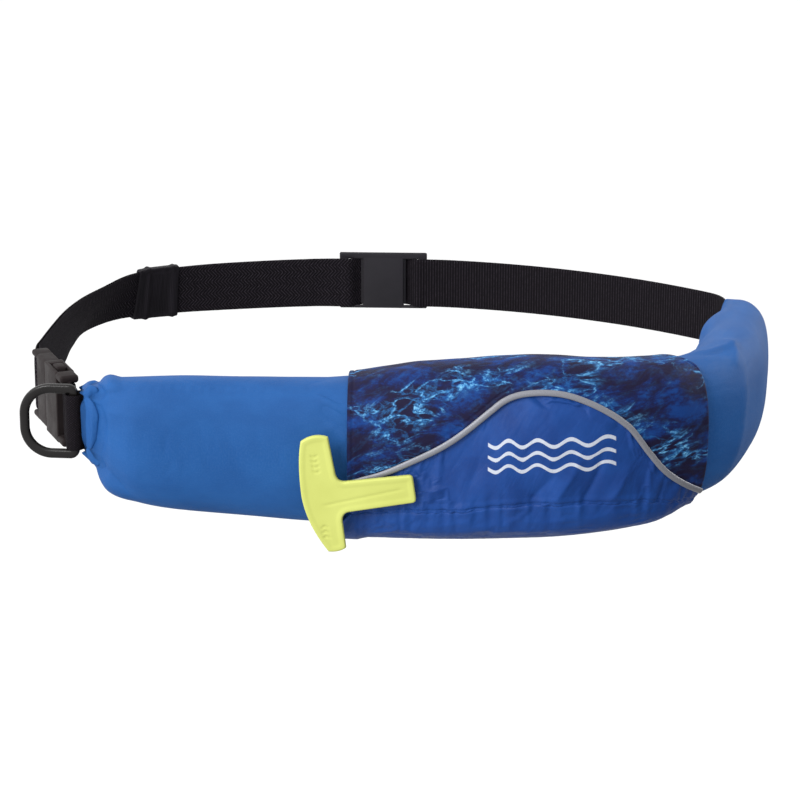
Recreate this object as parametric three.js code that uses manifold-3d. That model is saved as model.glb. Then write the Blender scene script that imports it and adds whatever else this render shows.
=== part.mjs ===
import * as THREE from "three";
import { mergeVertices } from "three/addons/utils/BufferGeometryUtils.js";
import Module from "manifold-3d";

// An inflatable belt pack, as it is worn: a soft pouch round the front and the right of the waist,
// closed by a webbing belt with a side-release buckle.
// Lengths are millimetres, +Z is up and the wearer faces -Y.
// The origin is the middle of the waist loop, level with the middle of the belt.

// Waist loop, measured along the line that the webbing follows
const LOOP_WIDE = 498;
const LOOP_DEEP = 351;

// Webbing and the air kept between neighbouring pieces
const WEB_WIDE = 38;
const WEB_THICK = 1.6;
const GAP = 0.4;

// Pouch
const POUCH_DEEP = 60;
const POUCH_TALL = 112;
const SHELL_WALL = 1.6;
const NECK_WALL_ROOM = 0.8;
const BLADDER_SLACK = 2.6;
const BLADDER_START = 26;
const BLADDER_STOP = 40;

// Front cover, pocket panel, hem and piping
const COVER_START = 178;
const COVER_LONG = 214;
const COVER_WALL = 2;
const COVER_GAP = 1.3;
const COVER_LIFT = 2.6;
const COVER_CORNER = 11;
const EDGE_LIFT = 2.5;
const PANEL_WALL = 2;
const PANEL_PUFF = 5;
const PUCKER_DEEP = 0.6;
const PUCKERS = 7;
const HEM_THICK = 4;
const PIPING_WIDE = 4.2;
const PIPING_THICK = 2.2;
const SEAM_GAP = 0.9;

// Pull handle and the patch that holds it
const HANDLE_BAR_LONG = 80;
const HANDLE_BAR_WIDE = 22;
const HANDLE_STEM_LONG = 50;
const HANDLE_STEM_WIDE = 21;
const HANDLE_STEM_LOW = 4;
const HANDLE_THICK = 4;
const PATCH_LONG = 24;
const PATCH_WIDE = 15;
const PATCH_THICK = 2.2;
const HANDLE_PLACE = { across: 0.13, turn: -13 };
const HANDLE_TILT = 8;

// D-ring and its webbing loop
const RING_WIDE = 40;
const RING_LIMB = 6.4;
const RING_THICK = 5;
const RING_BAR = 6.5;
const RING_BACK = 13;

// Side-release buckle
const BUCKLE_WIDE = 50;
const BUCKLE_THICK = 13;
const SOCKET_LONG = 42;
const PLUG_LONG = 36;
const BUCKLE_WALL = 2.4;
const BUCKLE_BAR = 4;
const BUCKLE_BAR_THICK = 4;
const BUCKLE_SLOT = 8;
const PRONG_LONG = 27;
const PRONG_WIDE = 7;
const GUIDE_WIDE = 9;

// Slider and keeper
const SLIDER_LONG = 68;
const SLIDER_THICK = 2.6;
const SLIDER_LIP = 3.6;
const SLIDER_PLATE = 32;
const SLIDER_SLOT = 11;
const SLIDER_PLACE = 303;
const KEEPER_LONG = 35;
const KEEPER_WALL = 1.5;
const KEEPER_PLACE = 482;

// How far webbing goes into the pouch, where it lies there, and where the buckle starts from it
const BELT_TUCK = 14;
const TAB_TUCK = 8;
const TAB_OFF = 3.4;
const LOOP_OFF = 4.4;
const TAB_REACH = 8.5;
const TAB_OUT = 17.8;
const BELT_AT_BAR = 14;
const BELT_REST = 16;
const BELT_STEP = 11;
const BUCKLE_TURN = 111.4;

const wasm = await Module();
wasm.setup();

const lerp = THREE.MathUtils.lerp;
const rad = THREE.MathUtils.degToRad;

// The line of the webbing through the back of the pouch, from the neck at the left to the tip at
// the right: shares of half the loop's width and of half its depth.
const POUCH_ROUTE = [
  { across: -0.826, back: -1.045 },
  { across: -0.72, back: -1.025 },
  { across: -0.5, back: -0.985 },
  { across: -0.14, back: -0.98 },
  { across: 0.26, back: -0.995 },
  { across: 0.56, back: -0.965 },
  { across: 0.75, back: -0.84 },
  { across: 0.85, back: -0.6 },
  { across: 0.912, back: -0.285 },
  { across: 0.956, back: 0 },
  { across: 0.99, back: 0.24 },
];

// The belt from the tip round the back to the buckle, in the same shares. lean is how far the
// lower edge stands outside the upper one, as a share of the webbing's width.
const BELT_ROUTE = [
  { across: 0.975, back: 0.36, lean: 0 },
  { across: 0.9, back: 0.47, lean: 0 },
  { across: 0.7, back: 0.675, lean: 0 },
  { across: 0.46, back: 0.845, lean: 0 },
  { across: 0.21, back: 0.955, lean: 0 },
  { across: -0.04, back: 1, lean: 0 },
  { across: -0.29, back: 0.98, lean: 0.04 },
  { across: -0.54, back: 0.915, lean: 0.1 },
  { across: -0.66, back: 0.865, lean: 0.2 },
  { across: -0.77, back: 0.8, lean: 0.3 },
  { across: -0.835, back: 0.73, lean: 0.45 },
  { across: -0.9, back: 0.56, lean: 0.55 },
  { across: -0.945, back: 0.32, lean: 0.27 },
  { across: -0.97, back: 0.03, lean: 0.03 },
  { across: -0.993, back: -0.3, lean: 0 },
];

// Sections of the pouch. along: share of its length. front and inner: how far it stands in front
// of and behind the webbing line, as shares of the pouch's depth. rise and drop: its top and
// bottom from the belt's middle, as shares of its height. square: 2 is an oval, 4 nearly a box.
const SECTIONS = [
  { along: 0, front: 0.2, inner: 0.15, rise: 0.195, drop: 0.195, square: 6 },
  { along: 0.008, front: 0.22, inner: 0.17, rise: 0.205, drop: 0.22, square: 4.6 },
  { along: 0.018, front: 0.34, inner: 0.17, rise: 0.245, drop: 0.33, square: 3.2 },
  { along: 0.027, front: 0.46, inner: 0.15, rise: 0.268, drop: 0.39, square: 2.8 },
  { along: 0.055, front: 0.62, inner: 0.11, rise: 0.28, drop: 0.475, square: 2.8 },
  { along: 0.1, front: 0.7, inner: 0.08, rise: 0.285, drop: 0.52, square: 2.8 },
  { along: 0.18, front: 0.75, inner: 0.07, rise: 0.275, drop: 0.56, square: 2.8 },
  { along: 0.27, front: 0.82, inner: 0.07, rise: 0.275, drop: 0.59, square: 2.8 },
  { along: 0.38, front: 0.92, inner: 0.07, rise: 0.355, drop: 0.59, square: 2.8 },
  { along: 0.5, front: 0.96, inner: 0.07, rise: 0.4, drop: 0.58, square: 2.7 },
  { along: 0.6, front: 0.86, inner: 0.07, rise: 0.355, drop: 0.545, square: 2.7 },
  { along: 0.68, front: 0.76, inner: 0.07, rise: 0.335, drop: 0.5, square: 2.6 },
  { along: 0.76, front: 0.72, inner: 0.07, rise: 0.33, drop: 0.43, square: 2.6 },
  { along: 0.87, front: 0.62, inner: 0.07, rise: 0.28, drop: 0.34, square: 2.4 },
  { along: 0.94, front: 0.54, inner: 0.085, rise: 0.25, drop: 0.28, square: 2.5 },
  { along: 0.975, front: 0.42, inner: 0.1, rise: 0.23, drop: 0.24, square: 2.7 },
  { along: 0.993, front: 0.22, inner: 0.085, rise: 0.205, drop: 0.205, square: 3 },
  { along: 1, front: 0.075, inner: 0.065, rise: 0.195, drop: 0.195, square: 5 },
];

// The wave between cover and pocket. across: share of the cover's length. turn: degrees round
// the section, 0 straight to the front and 90 at the top.
const WAVE = [
  { across: 0, turn: -9 },
  { across: 0.11, turn: -4 },
  { across: 0.23, turn: 1 },
  { across: 0.29, turn: 5 },
  { across: 0.345, turn: 11.5 },
  { across: 0.4, turn: 21.5 },
  { across: 0.455, turn: 33 },
  { across: 0.515, turn: 39.5 },
  { across: 0.575, turn: 41 },
  { across: 0.63, turn: 40 },
  { across: 0.675, turn: 36 },
  { across: 0.72, turn: 29.5 },
  { across: 0.77, turn: 19 },
  { across: 0.82, turn: 4 },
  { across: 0.87, turn: -8 },
  { across: 0.93, turn: -24 },
  { across: 1, turn: -46 },
];

const COVER_TOP_TURN = 118;
const COVER_CORNER_TURN = 78;
const HEM_LOW_TURN = -88;

// The seam between panel and hem, in the same terms.
const HEM_LINE = [
  { across: 0, turn: -34 },
  { across: 0.17, turn: -31 },
  { across: 0.32, turn: -30 },
  { across: 0.46, turn: -27 },
  { across: 0.6, turn: -26 },
  { across: 0.72, turn: -28 },
  { across: 0.82, turn: -32 },
  { across: 0.89, turn: -40 },
  { across: 0.95, turn: -51 },
  { across: 1, turn: -62 },
];

// A value of a table at a share, by a smooth curve that never overshoots its rows.
function smooth(rows, key, value, place) {
  const x = rows.map((row) => row[key]);
  const y = rows.map((row) => row[value]);
  const last = x.length - 1;
  if (place <= x[0]) return y[0];
  if (place >= x[last]) return y[last];
  const i = x.findIndex((edge) => edge > place) - 1;
  const rise = (k) => (y[k + 1] - y[k]) / (x[k + 1] - x[k]);
  const slope = (k) => {
    if (k === 0) return rise(0);
    if (k === last) return rise(last - 1);
    const before = rise(k - 1);
    const after = rise(k);
    return before * after <= 0 ? 0 : (2 * before * after) / (before + after);
  };
  const wide = x[i + 1] - x[i];
  const t = (place - x[i]) / wide;
  return (
    y[i] * (1 + 2 * t) * (1 - t) ** 2 +
    y[i + 1] * t * t * (3 - 2 * t) +
    slope(i) * wide * t * (1 - t) ** 2 -
    slope(i + 1) * wide * t * t * (1 - t)
  );
}

// A smooth line in plan through table rows, with its normal towards the outside of the loop.
class PlanLine {
  constructor(points) {
    this.curve = new THREE.CatmullRomCurve3(points, false, "centripetal");
    this.curve.arcLengthDivisions = 800;
    this.long = this.curve.getLength();
  }
  at(length) {
    const share = THREE.MathUtils.clamp(length / this.long, 0, 1);
    const over = length - share * this.long;
    const ahead = this.curve.getTangentAt(share);
    const point = this.curve.getPointAt(share).addScaledVector(ahead, over);
    return { point, ahead, out: new THREE.Vector3(ahead.y, -ahead.x, 0) };
  }
}

function planPoint({ across, back }) {
  return new THREE.Vector3((across * LOOP_WIDE) / 2, (back * LOOP_DEEP) / 2, 0);
}

// From 0 at one value to 1 at another, which may be the lower one.
function smoothstep(x, from, to) {
  const t = THREE.MathUtils.clamp((x - from) / (to - from), 0, 1);
  return t * t * (3 - 2 * t);
}

// One closed body from rings of points. The first and the last ring are capped, or joined
// to each other where the rings run out and back.
function ringBody(rings, joined = false) {
  const count = rings[0].length;
  const points = rings.flat();
  const faces = [];
  const bands = joined ? rings.length : rings.length - 1;
  for (let r = 0; r < bands; r++) {
    const next = (r + 1) % rings.length;
    for (let k = 0; k < count; k++) {
      const m = (k + 1) % count;
      const a = r * count + k;
      const b = r * count + m;
      const c = next * count + k;
      const d = next * count + m;
      faces.push([a, b, d], [a, d, c]);
    }
  }
  if (!joined) {
    for (const [ring, turned] of [
      [0, true],
      [rings.length - 1, false],
    ]) {
      const middle = new THREE.Vector3();
      rings[ring].forEach((p) => middle.addScaledVector(p, 1 / count));
      points.push(middle);
      const hub = points.length - 1;
      for (let k = 0; k < count; k++) {
        const a = ring * count + k;
        const b = ring * count + ((k + 1) % count);
        faces.push(turned ? [hub, b, a] : [hub, a, b]);
      }
    }
  }
  return facingOut(points, faces);
}

// A geometry whose faces point out, whichever way round its rings were given.
function facingOut(points, faces) {
  const across = new THREE.Vector3();
  let volume = 0;
  for (const [a, b, c] of faces) volume += points[a].dot(across.crossVectors(points[b], points[c]));
  const kept = volume < 0 ? faces.map(([a, b, c]) => [a, c, b]) : faces;
  const geometry = new THREE.BufferGeometry().setFromPoints(points);
  geometry.setIndex(kept.flat());
  return geometry;
}

// A skin from two grids of the same size, the outer and the inner face of a wall.
function skinBody(outer, inner) {
  const rings = outer.map((row, i) => [...row, ...inner[i].slice().reverse()]);
  const count = rings[0].length;
  const half = outer[0].length;
  const points = rings.flat();
  const faces = [];
  for (let r = 0; r + 1 < rings.length; r++) {
    for (let k = 0; k < count; k++) {
      const m = (k + 1) % count;
      const a = r * count + k;
      const b = r * count + m;
      const c = a + count;
      const d = b + count;
      faces.push([a, b, d], [a, d, c]);
    }
  }
  for (const [ring, turned] of [
    [0, true],
    [rings.length - 1, false],
  ]) {
    for (let k = 0; k + 1 < half; k++) {
      const a = ring * count + k;
      const b = a + 1;
      const c = ring * count + (count - 1 - k);
      const d = c - 1;
      if (turned) faces.push([a, c, b], [b, c, d]);
      else faces.push([a, b, c], [b, d, c]);
    }
  }
  return facingOut(points, faces);
}

function solidOf(geometry) {
  const bare = geometry.index ? geometry.toNonIndexed() : geometry.clone();
  bare.deleteAttribute("normal");
  bare.deleteAttribute("uv");
  const merged = mergeVertices(bare, 1e-4);
  return new wasm.Manifold(
    new wasm.Mesh({
      numProp: 3,
      vertProperties: new Float32Array(merged.attributes.position.array),
      triVerts: new Uint32Array(merged.index.array),
    }),
  );
}

function geometryOf(solid) {
  const mesh = solid.getMesh();
  const geometry = new THREE.BufferGeometry();
  geometry.setAttribute("position", new THREE.BufferAttribute(mesh.vertProperties, 3));
  geometry.setIndex(new THREE.BufferAttribute(mesh.triVerts, 1));
  return geometry;
}

function box(wide, deep, tall, x = 0, y = 0, z = 0) {
  return new THREE.BoxGeometry(wide, deep, tall).translate(x, y, z);
}

// A plate from a flat outline, its thickness centred on the plane of the outline.
function plate(outline, thick, bevel = 0.8, curveSegments = 8) {
  const made = new THREE.ExtrudeGeometry(outline, {
    depth: thick - 2 * bevel,
    bevelEnabled: bevel > 0,
    steps: 1,
    bevelThickness: bevel,
    bevelSize: bevel,
    bevelOffset: -bevel,
    bevelSegments: 1,
    curveSegments,
  });
  return made.translate(0, 0, bevel - thick / 2);
}

function roundedBox(wide, tall, radius) {
  const x = wide / 2;
  const y = tall / 2;
  const r = Math.min(radius, x * 0.98, y * 0.98);
  const shape = new THREE.Shape();
  shape.moveTo(-x + r, -y);
  shape.lineTo(x - r, -y);
  shape.absarc(x - r, -y + r, r, -Math.PI / 2, 0);
  shape.lineTo(x, y - r);
  shape.absarc(x - r, y - r, r, 0, Math.PI / 2);
  shape.lineTo(-x + r, y);
  shape.absarc(-x + r, y - r, r, Math.PI / 2, Math.PI);
  shape.lineTo(-x, -y + r);
  shape.absarc(-x + r, -y + r, r, Math.PI, 1.5 * Math.PI);
  return shape;
}

// Pouch

const pouchLine = new PlanLine(POUCH_ROUTE.map(planPoint));

function pouchSection(length) {
  const along = THREE.MathUtils.clamp(length / pouchLine.long, 0, 1);
  const read = (value) => smooth(SECTIONS, "along", value, along);
  const room = WEB_WIDE / 2 + NECK_WALL_ROOM + SHELL_WALL;
  return {
    front: Math.max(read("front") * POUCH_DEEP, SHELL_WALL + WEB_THICK),
    inner: Math.max(read("inner") * POUCH_DEEP, SHELL_WALL + WEB_THICK),
    rise: Math.max(read("rise") * POUCH_TALL, room),
    drop: Math.max(read("drop") * POUCH_TALL, room),
    square: read("square"),
  };
}

// The point of the sleeve's outer face at a length along it and degrees round it.
function onPouch(length, turn) {
  const { point, out } = pouchLine.at(length);
  const { front, inner, rise, drop, square } = pouchSection(length);
  const bend = (v) => Math.sign(v) * Math.abs(v) ** (2 / square);
  const deep = (front + inner) / 2;
  const tall = (rise + drop) / 2;
  const off = (front - inner) / 2 + deep * bend(Math.cos(rad(turn)));
  const level = (rise - drop) / 2 + tall * bend(Math.sin(rad(turn)));
  return point.clone().addScaledVector(out, off).setZ(level);
}

function pouchNormal(length, turn) {
  const step = 1;
  const along = onPouch(length + step, turn).sub(onPouch(length - step, turn));
  const round = onPouch(length, turn + step).sub(onPouch(length, turn - step));
  return along.cross(round).normalize();
}

function offPouch(length, turn, lift) {
  return onPouch(length, turn).addScaledVector(pouchNormal(length, turn), lift);
}

const SHELL_STEPS = 44;
const SHELL_SIDES = 20;

// More sections where the sleeve closes to its neck and its tip.
function shellLength(share) {
  const eased = share - 0.11 * Math.sin(2 * Math.PI * share);
  return eased * pouchLine.long;
}

function pouchShell() {
  const ring = (length, lift) =>
    Array.from({ length: SHELL_SIDES }, (_, k) => {
      const turn = (360 * (k + 0.5)) / SHELL_SIDES;
      return offPouch(length, turn, lift);
    });
  const lengths = Array.from({ length: SHELL_STEPS + 1 }, (_, i) => shellLength(i / SHELL_STEPS));
  const outer = lengths.map((length) => ring(length, 0));
  const inner = lengths.map((length) => ring(length, -SHELL_WALL)).reverse();
  return ringBody([...outer, ...inner], true);
}

function foldedBladder() {
  const steps = 30;
  const sides = 14;
  const stop = pouchLine.long - BLADDER_STOP;
  const rings = Array.from({ length: steps + 1 }, (_, i) => {
    const share = i / steps;
    const length = lerp(BLADDER_START, stop, share);
    const end = Math.min(share, 1 - share) / 0.06;
    const slack = BLADDER_SLACK + 4 * (1 - smoothstep(end, 0, 1));
    return Array.from({ length: sides }, (_, k) =>
      offPouch(length, (360 * (k + 0.5)) / sides, -SHELL_WALL - slack),
    );
  });
  return ringBody(rings);
}

// Cover, pocket panel, hem and piping

const COVER_STEPS = 24;

function coverLength(across) {
  return COVER_START + across * COVER_LONG;
}

function waveTurn(across) {
  return smooth(WAVE, "across", "turn", across);
}

function hemTurn(across) {
  return smooth(HEM_LINE, "across", "turn", across);
}

// Degrees round the section for a distance along its face.
function turnFor(length, turn, distance) {
  const perDegree = onPouch(length, turn + 0.5).distanceTo(onPouch(length, turn - 0.5));
  return distance / Math.max(perDegree, 0.1);
}

function coverLift(across, turn) {
  const edge = smoothstep(across, 0, 0.12) * smoothstep(1 - across, 0, 0.08);
  const crown = Math.cos(rad(THREE.MathUtils.clamp(turn - 10, -90, 90)));
  const free = (1 - smoothstep(across, 0, 0.07)) * smoothstep(turn, 60, 0);
  return COVER_GAP + COVER_LIFT * edge * crown + EDGE_LIFT * free;
}

function panelLift(across, turn) {
  const below = waveTurn(across) - turn;
  const ends = smoothstep(across, 0, 0.03) * smoothstep(1 - across, 0, 0.14);
  const puff = PANEL_PUFF * smoothstep(below, 0, 45);
  const pucker = PUCKER_DEEP * Math.sin(2 * Math.PI * PUCKERS * across + turn / 18);
  return coverLift(across, turn) + ends * (puff + pucker * smoothstep(below, 15, 55));
}

// A piece of cloth over the pouch: edges gives its two turns at a share along the cover.
function clothOver(edges, lift, thick, steps, rows, from = 0, to = 1) {
  const outer = [];
  const inner = [];
  for (let i = 0; i <= steps; i++) {
    const across = lerp(from, to, i / steps);
    const [high, low] = edges(across);
    const length = coverLength(across);
    const turns = Array.from({ length: rows + 1 }, (_, k) => lerp(high, low, k / rows));
    const face = (extra) =>
      turns.map((turn, k) => offPouch(length, turn, lift(across, turn, k / rows) + extra(k / rows)));
    inner.push(face(() => 0));
    outer.push(face(thick));
  }
  return skinBody(outer, inner);
}

function frontCover() {
  const edges = (across) => {
    const length = coverLength(across);
    const turn = waveTurn(across);
    const left = (1 - across) * COVER_LONG;
    const round = Math.max(COVER_CORNER - left, 0);
    const cut = COVER_CORNER - Math.sqrt(COVER_CORNER ** 2 - round ** 2);
    const top = lerp(COVER_TOP_TURN, COVER_CORNER_TURN, Math.sqrt(round / COVER_CORNER));
    return [top - turnFor(length, top, cut), turn + turnFor(length, turn, SEAM_GAP / 2)];
  };
  return clothOver(edges, coverLift, () => COVER_WALL, COVER_STEPS, 9);
}

function pocketPanel() {
  const edges = (across) => {
    const length = coverLength(across);
    const turn = waveTurn(across);
    const seam = hemTurn(across);
    return [
      turn - turnFor(length, turn, SEAM_GAP / 2),
      seam + turnFor(length, seam, SEAM_GAP / 2),
    ];
  };
  return clothOver(edges, panelLift, () => PANEL_WALL, COVER_STEPS * 1.5, 6);
}

function pocketHem() {
  const edges = (across) => {
    const length = coverLength(across);
    const seam = hemTurn(across);
    return [seam - turnFor(length, seam, SEAM_GAP / 2), HEM_LOW_TURN];
  };
  const roll = (share) => HEM_THICK * (0.45 + 0.55 * Math.sin(Math.PI * share));
  return clothOver(edges, panelLift, roll, COVER_STEPS, 7);
}

function piping() {
  const edges = (across) => {
    const length = coverLength(across);
    const turn = waveTurn(across);
    const half = turnFor(length, turn, PIPING_WIDE / 2);
    return [turn + half, turn - half];
  };
  const lift = (across, turn) => panelLift(across, turn) + Math.max(COVER_WALL, PANEL_WALL) + GAP;
  const roll = (share) => PIPING_THICK * (0.3 + 0.7 * Math.sin(Math.PI * share));
  return clothOver(edges, lift, roll, COVER_STEPS * 1.5, 2, 0.01, 0.99);
}

// Buckle, placed by its own frame: x along it from the neck to the belt, y towards the outside
// of the loop, z up.

const neck = pouchLine.at(0);
const buckleLong = SOCKET_LONG + PLUG_LONG;
const buckleStart = neck.point.clone().addScaledVector(neck.ahead, -TAB_REACH);
buckleStart.addScaledVector(neck.out, -TAB_OUT);
const buckleAhead = new THREE.Vector3(Math.cos(rad(BUCKLE_TURN)), Math.sin(rad(BUCKLE_TURN)), 0);
const buckleOut = new THREE.Vector3(-buckleAhead.y, buckleAhead.x, 0);

function atBuckle(along, out) {
  return buckleStart.clone().addScaledVector(buckleAhead, along).addScaledVector(buckleOut, out);
}

function placeAtBuckle(geometry) {
  const basis = new THREE.Matrix4().makeBasis(buckleAhead, buckleOut, new THREE.Vector3(0, 0, 1));
  return geometry.applyMatrix4(basis.setPosition(buckleStart));
}

// A flat outline in the buckle's x and z made a plate whose thickness is along y.
function buckleBlock(outline, thick, bevel) {
  return plate(outline, thick, bevel, 5).rotateX(Math.PI / 2);
}

const slotTall = WEB_WIDE + 2 * GAP;
const prongRoom = BUCKLE_THICK - 2 * BUCKLE_WALL;
const prongThick = prongRoom - 2 * GAP;
const socketMouth = BUCKLE_BAR + BUCKLE_SLOT + BUCKLE_WALL;

// The open end of a buckle half, and the thin bar across it that the webbing goes round.
function webSlot(end, way) {
  const long = BUCKLE_BAR + BUCKLE_SLOT;
  const slot = box(long + 2, BUCKLE_THICK * 2, slotTall, end + way * (long / 2 - 1));
  const bar = box(BUCKLE_BAR, BUCKLE_BAR_THICK, slotTall + 4, end + (way * BUCKLE_BAR) / 2);
  return { slot: solidOf(slot), bar: solidOf(bar) };
}

function buckleSocket() {
  const outline = roundedBox(SOCKET_LONG, BUCKLE_WIDE, 6);
  const body = solidOf(buckleBlock(outline, BUCKLE_THICK, 2).translate(SOCKET_LONG / 2, 0, 0));
  const roomLong = SOCKET_LONG - socketMouth;
  const room = solidOf(
    box(roomLong + 1, prongRoom, BUCKLE_WIDE - 2 * BUCKLE_WALL, socketMouth + (roomLong + 1) / 2),
  );
  const windowLong = roomLong * 0.55;
  const windowAt = socketMouth + roomLong * 0.42;
  const windows = solidOf(box(windowLong, prongRoom, BUCKLE_WIDE * 2, windowAt));
  const { slot, bar } = webSlot(0, 1);
  return placeAtBuckle(geometryOf(body.subtract(slot).add(bar).subtract(room).subtract(windows)));
}

function bucklePlug() {
  const start = SOCKET_LONG + GAP;
  const long = PLUG_LONG - GAP;
  const outline = roundedBox(long, BUCKLE_WIDE - 2, 6);
  const frame = buckleBlock(outline, BUCKLE_THICK - 1, 2).translate(start + long / 2, 0, 0);
  const { slot, bar } = webSlot(start + long, -1);
  const reach = Math.min(PRONG_LONG, SOCKET_LONG - socketMouth - GAP);
  const tip = start - GAP - reach;
  const prongLevel = BUCKLE_WIDE / 2 - BUCKLE_WALL - GAP - PRONG_WIDE / 2;
  let body = solidOf(frame).subtract(slot).add(bar);
  for (const [level, wide] of [
    [prongLevel, PRONG_WIDE],
    [0, GUIDE_WIDE],
    [-prongLevel, PRONG_WIDE],
  ]) {
    const long = reach + GAP + 3;
    body = body.add(solidOf(box(long, prongThick, wide, tip + long / 2, 0, level)));
  }
  const thumbLong = (SOCKET_LONG - socketMouth) * 0.4;
  const thumbAt = socketMouth + (SOCKET_LONG - socketMouth) * 0.42;
  for (const side of [-1, 1]) {
    const thumbTall = BUCKLE_WALL + 2 * GAP + 1.5;
    const level = side * (BUCKLE_WIDE / 2 - BUCKLE_WALL - GAP + thumbTall / 2 - 1);
    body = body.add(solidOf(box(thumbLong, prongThick, thumbTall, thumbAt, 0, level)));
  }
  return placeAtBuckle(geometryOf(body));
}

// Webbing

// A strip of webbing stood on edge along a plan path. A point may lean: its lower edge stands
// out by that vector from its upper one.
function webbing(path, wide = WEB_WIDE) {
  const rings = path.map((here, i) => {
    const before = path[Math.max(i - 1, 0)].point;
    const after = path[Math.min(i + 1, path.length - 1)].point;
    const ahead = after.clone().sub(before).setZ(0).normalize();
    const side = new THREE.Vector3(ahead.y, -ahead.x, 0);
    const turn = i > 0 && i < path.length - 1
      ? here.point.clone().sub(before).normalize().dot(ahead)
      : 1;
    const reach = WEB_THICK / 2 / Math.max(turn, 0.5);
    const lean = here.lean ?? new THREE.Vector3();
    return [
      [1, 1],
      [-1, 1],
      [-1, -1],
      [1, -1],
    ].map(([out, up]) =>
      here.point
        .clone()
        .addScaledVector(side, out * reach)
        .addScaledVector(lean, -up / 2)
        .add(new THREE.Vector3(0, 0, (up * wide) / 2)),
    );
  });
  return ringBody(rings);
}

// The turn of webbing round a bar: points on a half circle, from angle to angle.
function aroundBar(centre, radius, from, to, steps) {
  return Array.from({ length: steps + 1 }, (_, i) => {
    const angle = rad(lerp(from, to, i / steps));
    const out = new THREE.Vector3(Math.cos(angle), Math.sin(angle), 0);
    return { point: centre.clone().addScaledVector(out, radius) };
  });
}

const layerOff = (WEB_THICK + GAP) / 2;
const barTurn = BUCKLE_BAR / 2 + GAP + WEB_THICK / 2 + 0.6;
const beltEnd = atBuckle(buckleLong - BUCKLE_BAR / 2, 0);

const beltLine = new PlanLine([
  pouchLine.at(pouchLine.long).point,
  ...BELT_ROUTE.map(planPoint),
  atBuckle(buckleLong + BELT_AT_BAR, 0),
]);
const beltRows = [{ along: 0, lean: 0 }];
{
  const ends = beltLine.curve.points.length - 1;
  BELT_ROUTE.forEach(({ lean }, i) => {
    beltRows.push({ along: nearestLength(beltLine, i + 1, ends), lean });
  });
  beltRows.push({ along: beltLine.long, lean: 0 });
}

// The length along a line at which its control point lies.
function nearestLength(line, index, ends) {
  const lengths = line.curve.getLengths(800);
  return lengths[Math.round((800 * index) / ends)];
}

function onBelt(length, off) {
  const { point, out } = beltLine.at(length);
  const lean = smooth(beltRows, "along", "lean", length) * WEB_WIDE;
  return { point: point.clone().addScaledVector(out, off), lean: out.clone().multiplyScalar(lean) };
}

const slider = beltLine.at(SLIDER_PLACE);

function atSlider(along, off) {
  return {
    point: slider.point.clone().addScaledVector(slider.ahead, along).addScaledVector(slider.out, off),
  };
}

function spread(from, to, step) {
  const count = Math.max(1, Math.round(Math.abs(to - from) / step));
  return Array.from({ length: count + 1 }, (_, i) => lerp(from, to, i / count));
}

// The webbing from the tip to the slider, over its wide bar, round the buckle's bar and back.
function beltWebbing() {
  const half = SLIDER_LONG / 2;
  const barOuter = SLIDER_PLATE / 2 + SLIDER_SLOT;
  const lie = SLIDER_THICK / 2 + GAP + WEB_THICK / 2;
  const second = WEB_THICK + GAP;
  const path = [];
  for (const length of spread(-BELT_TUCK, -2, 6)) {
    path.push({ point: pouchLine.at(pouchLine.long + length).point });
  }
  for (const length of spread(4, SLIDER_PLACE - half - BELT_REST, BELT_STEP)) {
    path.push(onBelt(length, 0));
  }
  path.push(atSlider(-half, -lie), atSlider(-barOuter + 1, -lie));
  path.push(atSlider(-SLIDER_PLATE / 2 - 2, lie + second), atSlider(0, lie + second));
  path.push(atSlider(SLIDER_PLATE / 2 + 1, lie + second), atSlider(barOuter - 2, -lie));
  path.push(atSlider(half, -lie));
  const last = beltLine.long - BELT_AT_BAR + 2;
  for (const length of spread(SLIDER_PLACE + half + BELT_REST, last, BELT_STEP)) {
    path.push(onBelt(length, layerOff));
  }
  path.push(...aroundBar(beltEnd, barTurn, BUCKLE_TURN + 60, BUCKLE_TURN + 300, 8));
  for (const length of spread(last, SLIDER_PLACE + half + BELT_REST, BELT_STEP)) {
    path.push(onBelt(length, -layerOff));
  }
  path.push(atSlider(half, -lie - second), atSlider(barOuter - 1, -lie - second));
  path.push(atSlider(SLIDER_PLATE / 2 + 2, lie), atSlider(2, lie));
  return webbing(path);
}

function buckleTab() {
  const centre = atBuckle(BUCKLE_BAR / 2, 0);
  const into = neck.point.clone().addScaledVector(neck.out, -TAB_OFF);
  const at = (length, off) => ({
    point: into.clone().addScaledVector(neck.ahead, length).addScaledVector(neck.out, off),
  });
  const path = [at(TAB_TUCK, -layerOff), at(0, -layerOff), at(-TAB_REACH * 0.55, -layerOff)];
  path.push(...aroundBar(centre, barTurn, BUCKLE_TURN - 120, BUCKLE_TURN + 120, 8));
  path.push(at(-TAB_REACH * 0.75, layerOff), at(0, layerOff), at(TAB_TUCK, layerOff));
  return webbing(path);
}

// D-ring and its loop: the ring's straight bar stands upright beside the neck.

const ringTall = slotTall + 2 * RING_LIMB;
const ringTurn = Math.hypot(RING_BAR, RING_THICK) / 2 + GAP + WEB_THICK / 2;
const ringAxis = neck.point
  .clone()
  .addScaledVector(neck.ahead, -(ringTurn + WEB_THICK))
  .addScaledVector(neck.out, LOOP_OFF);

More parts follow.
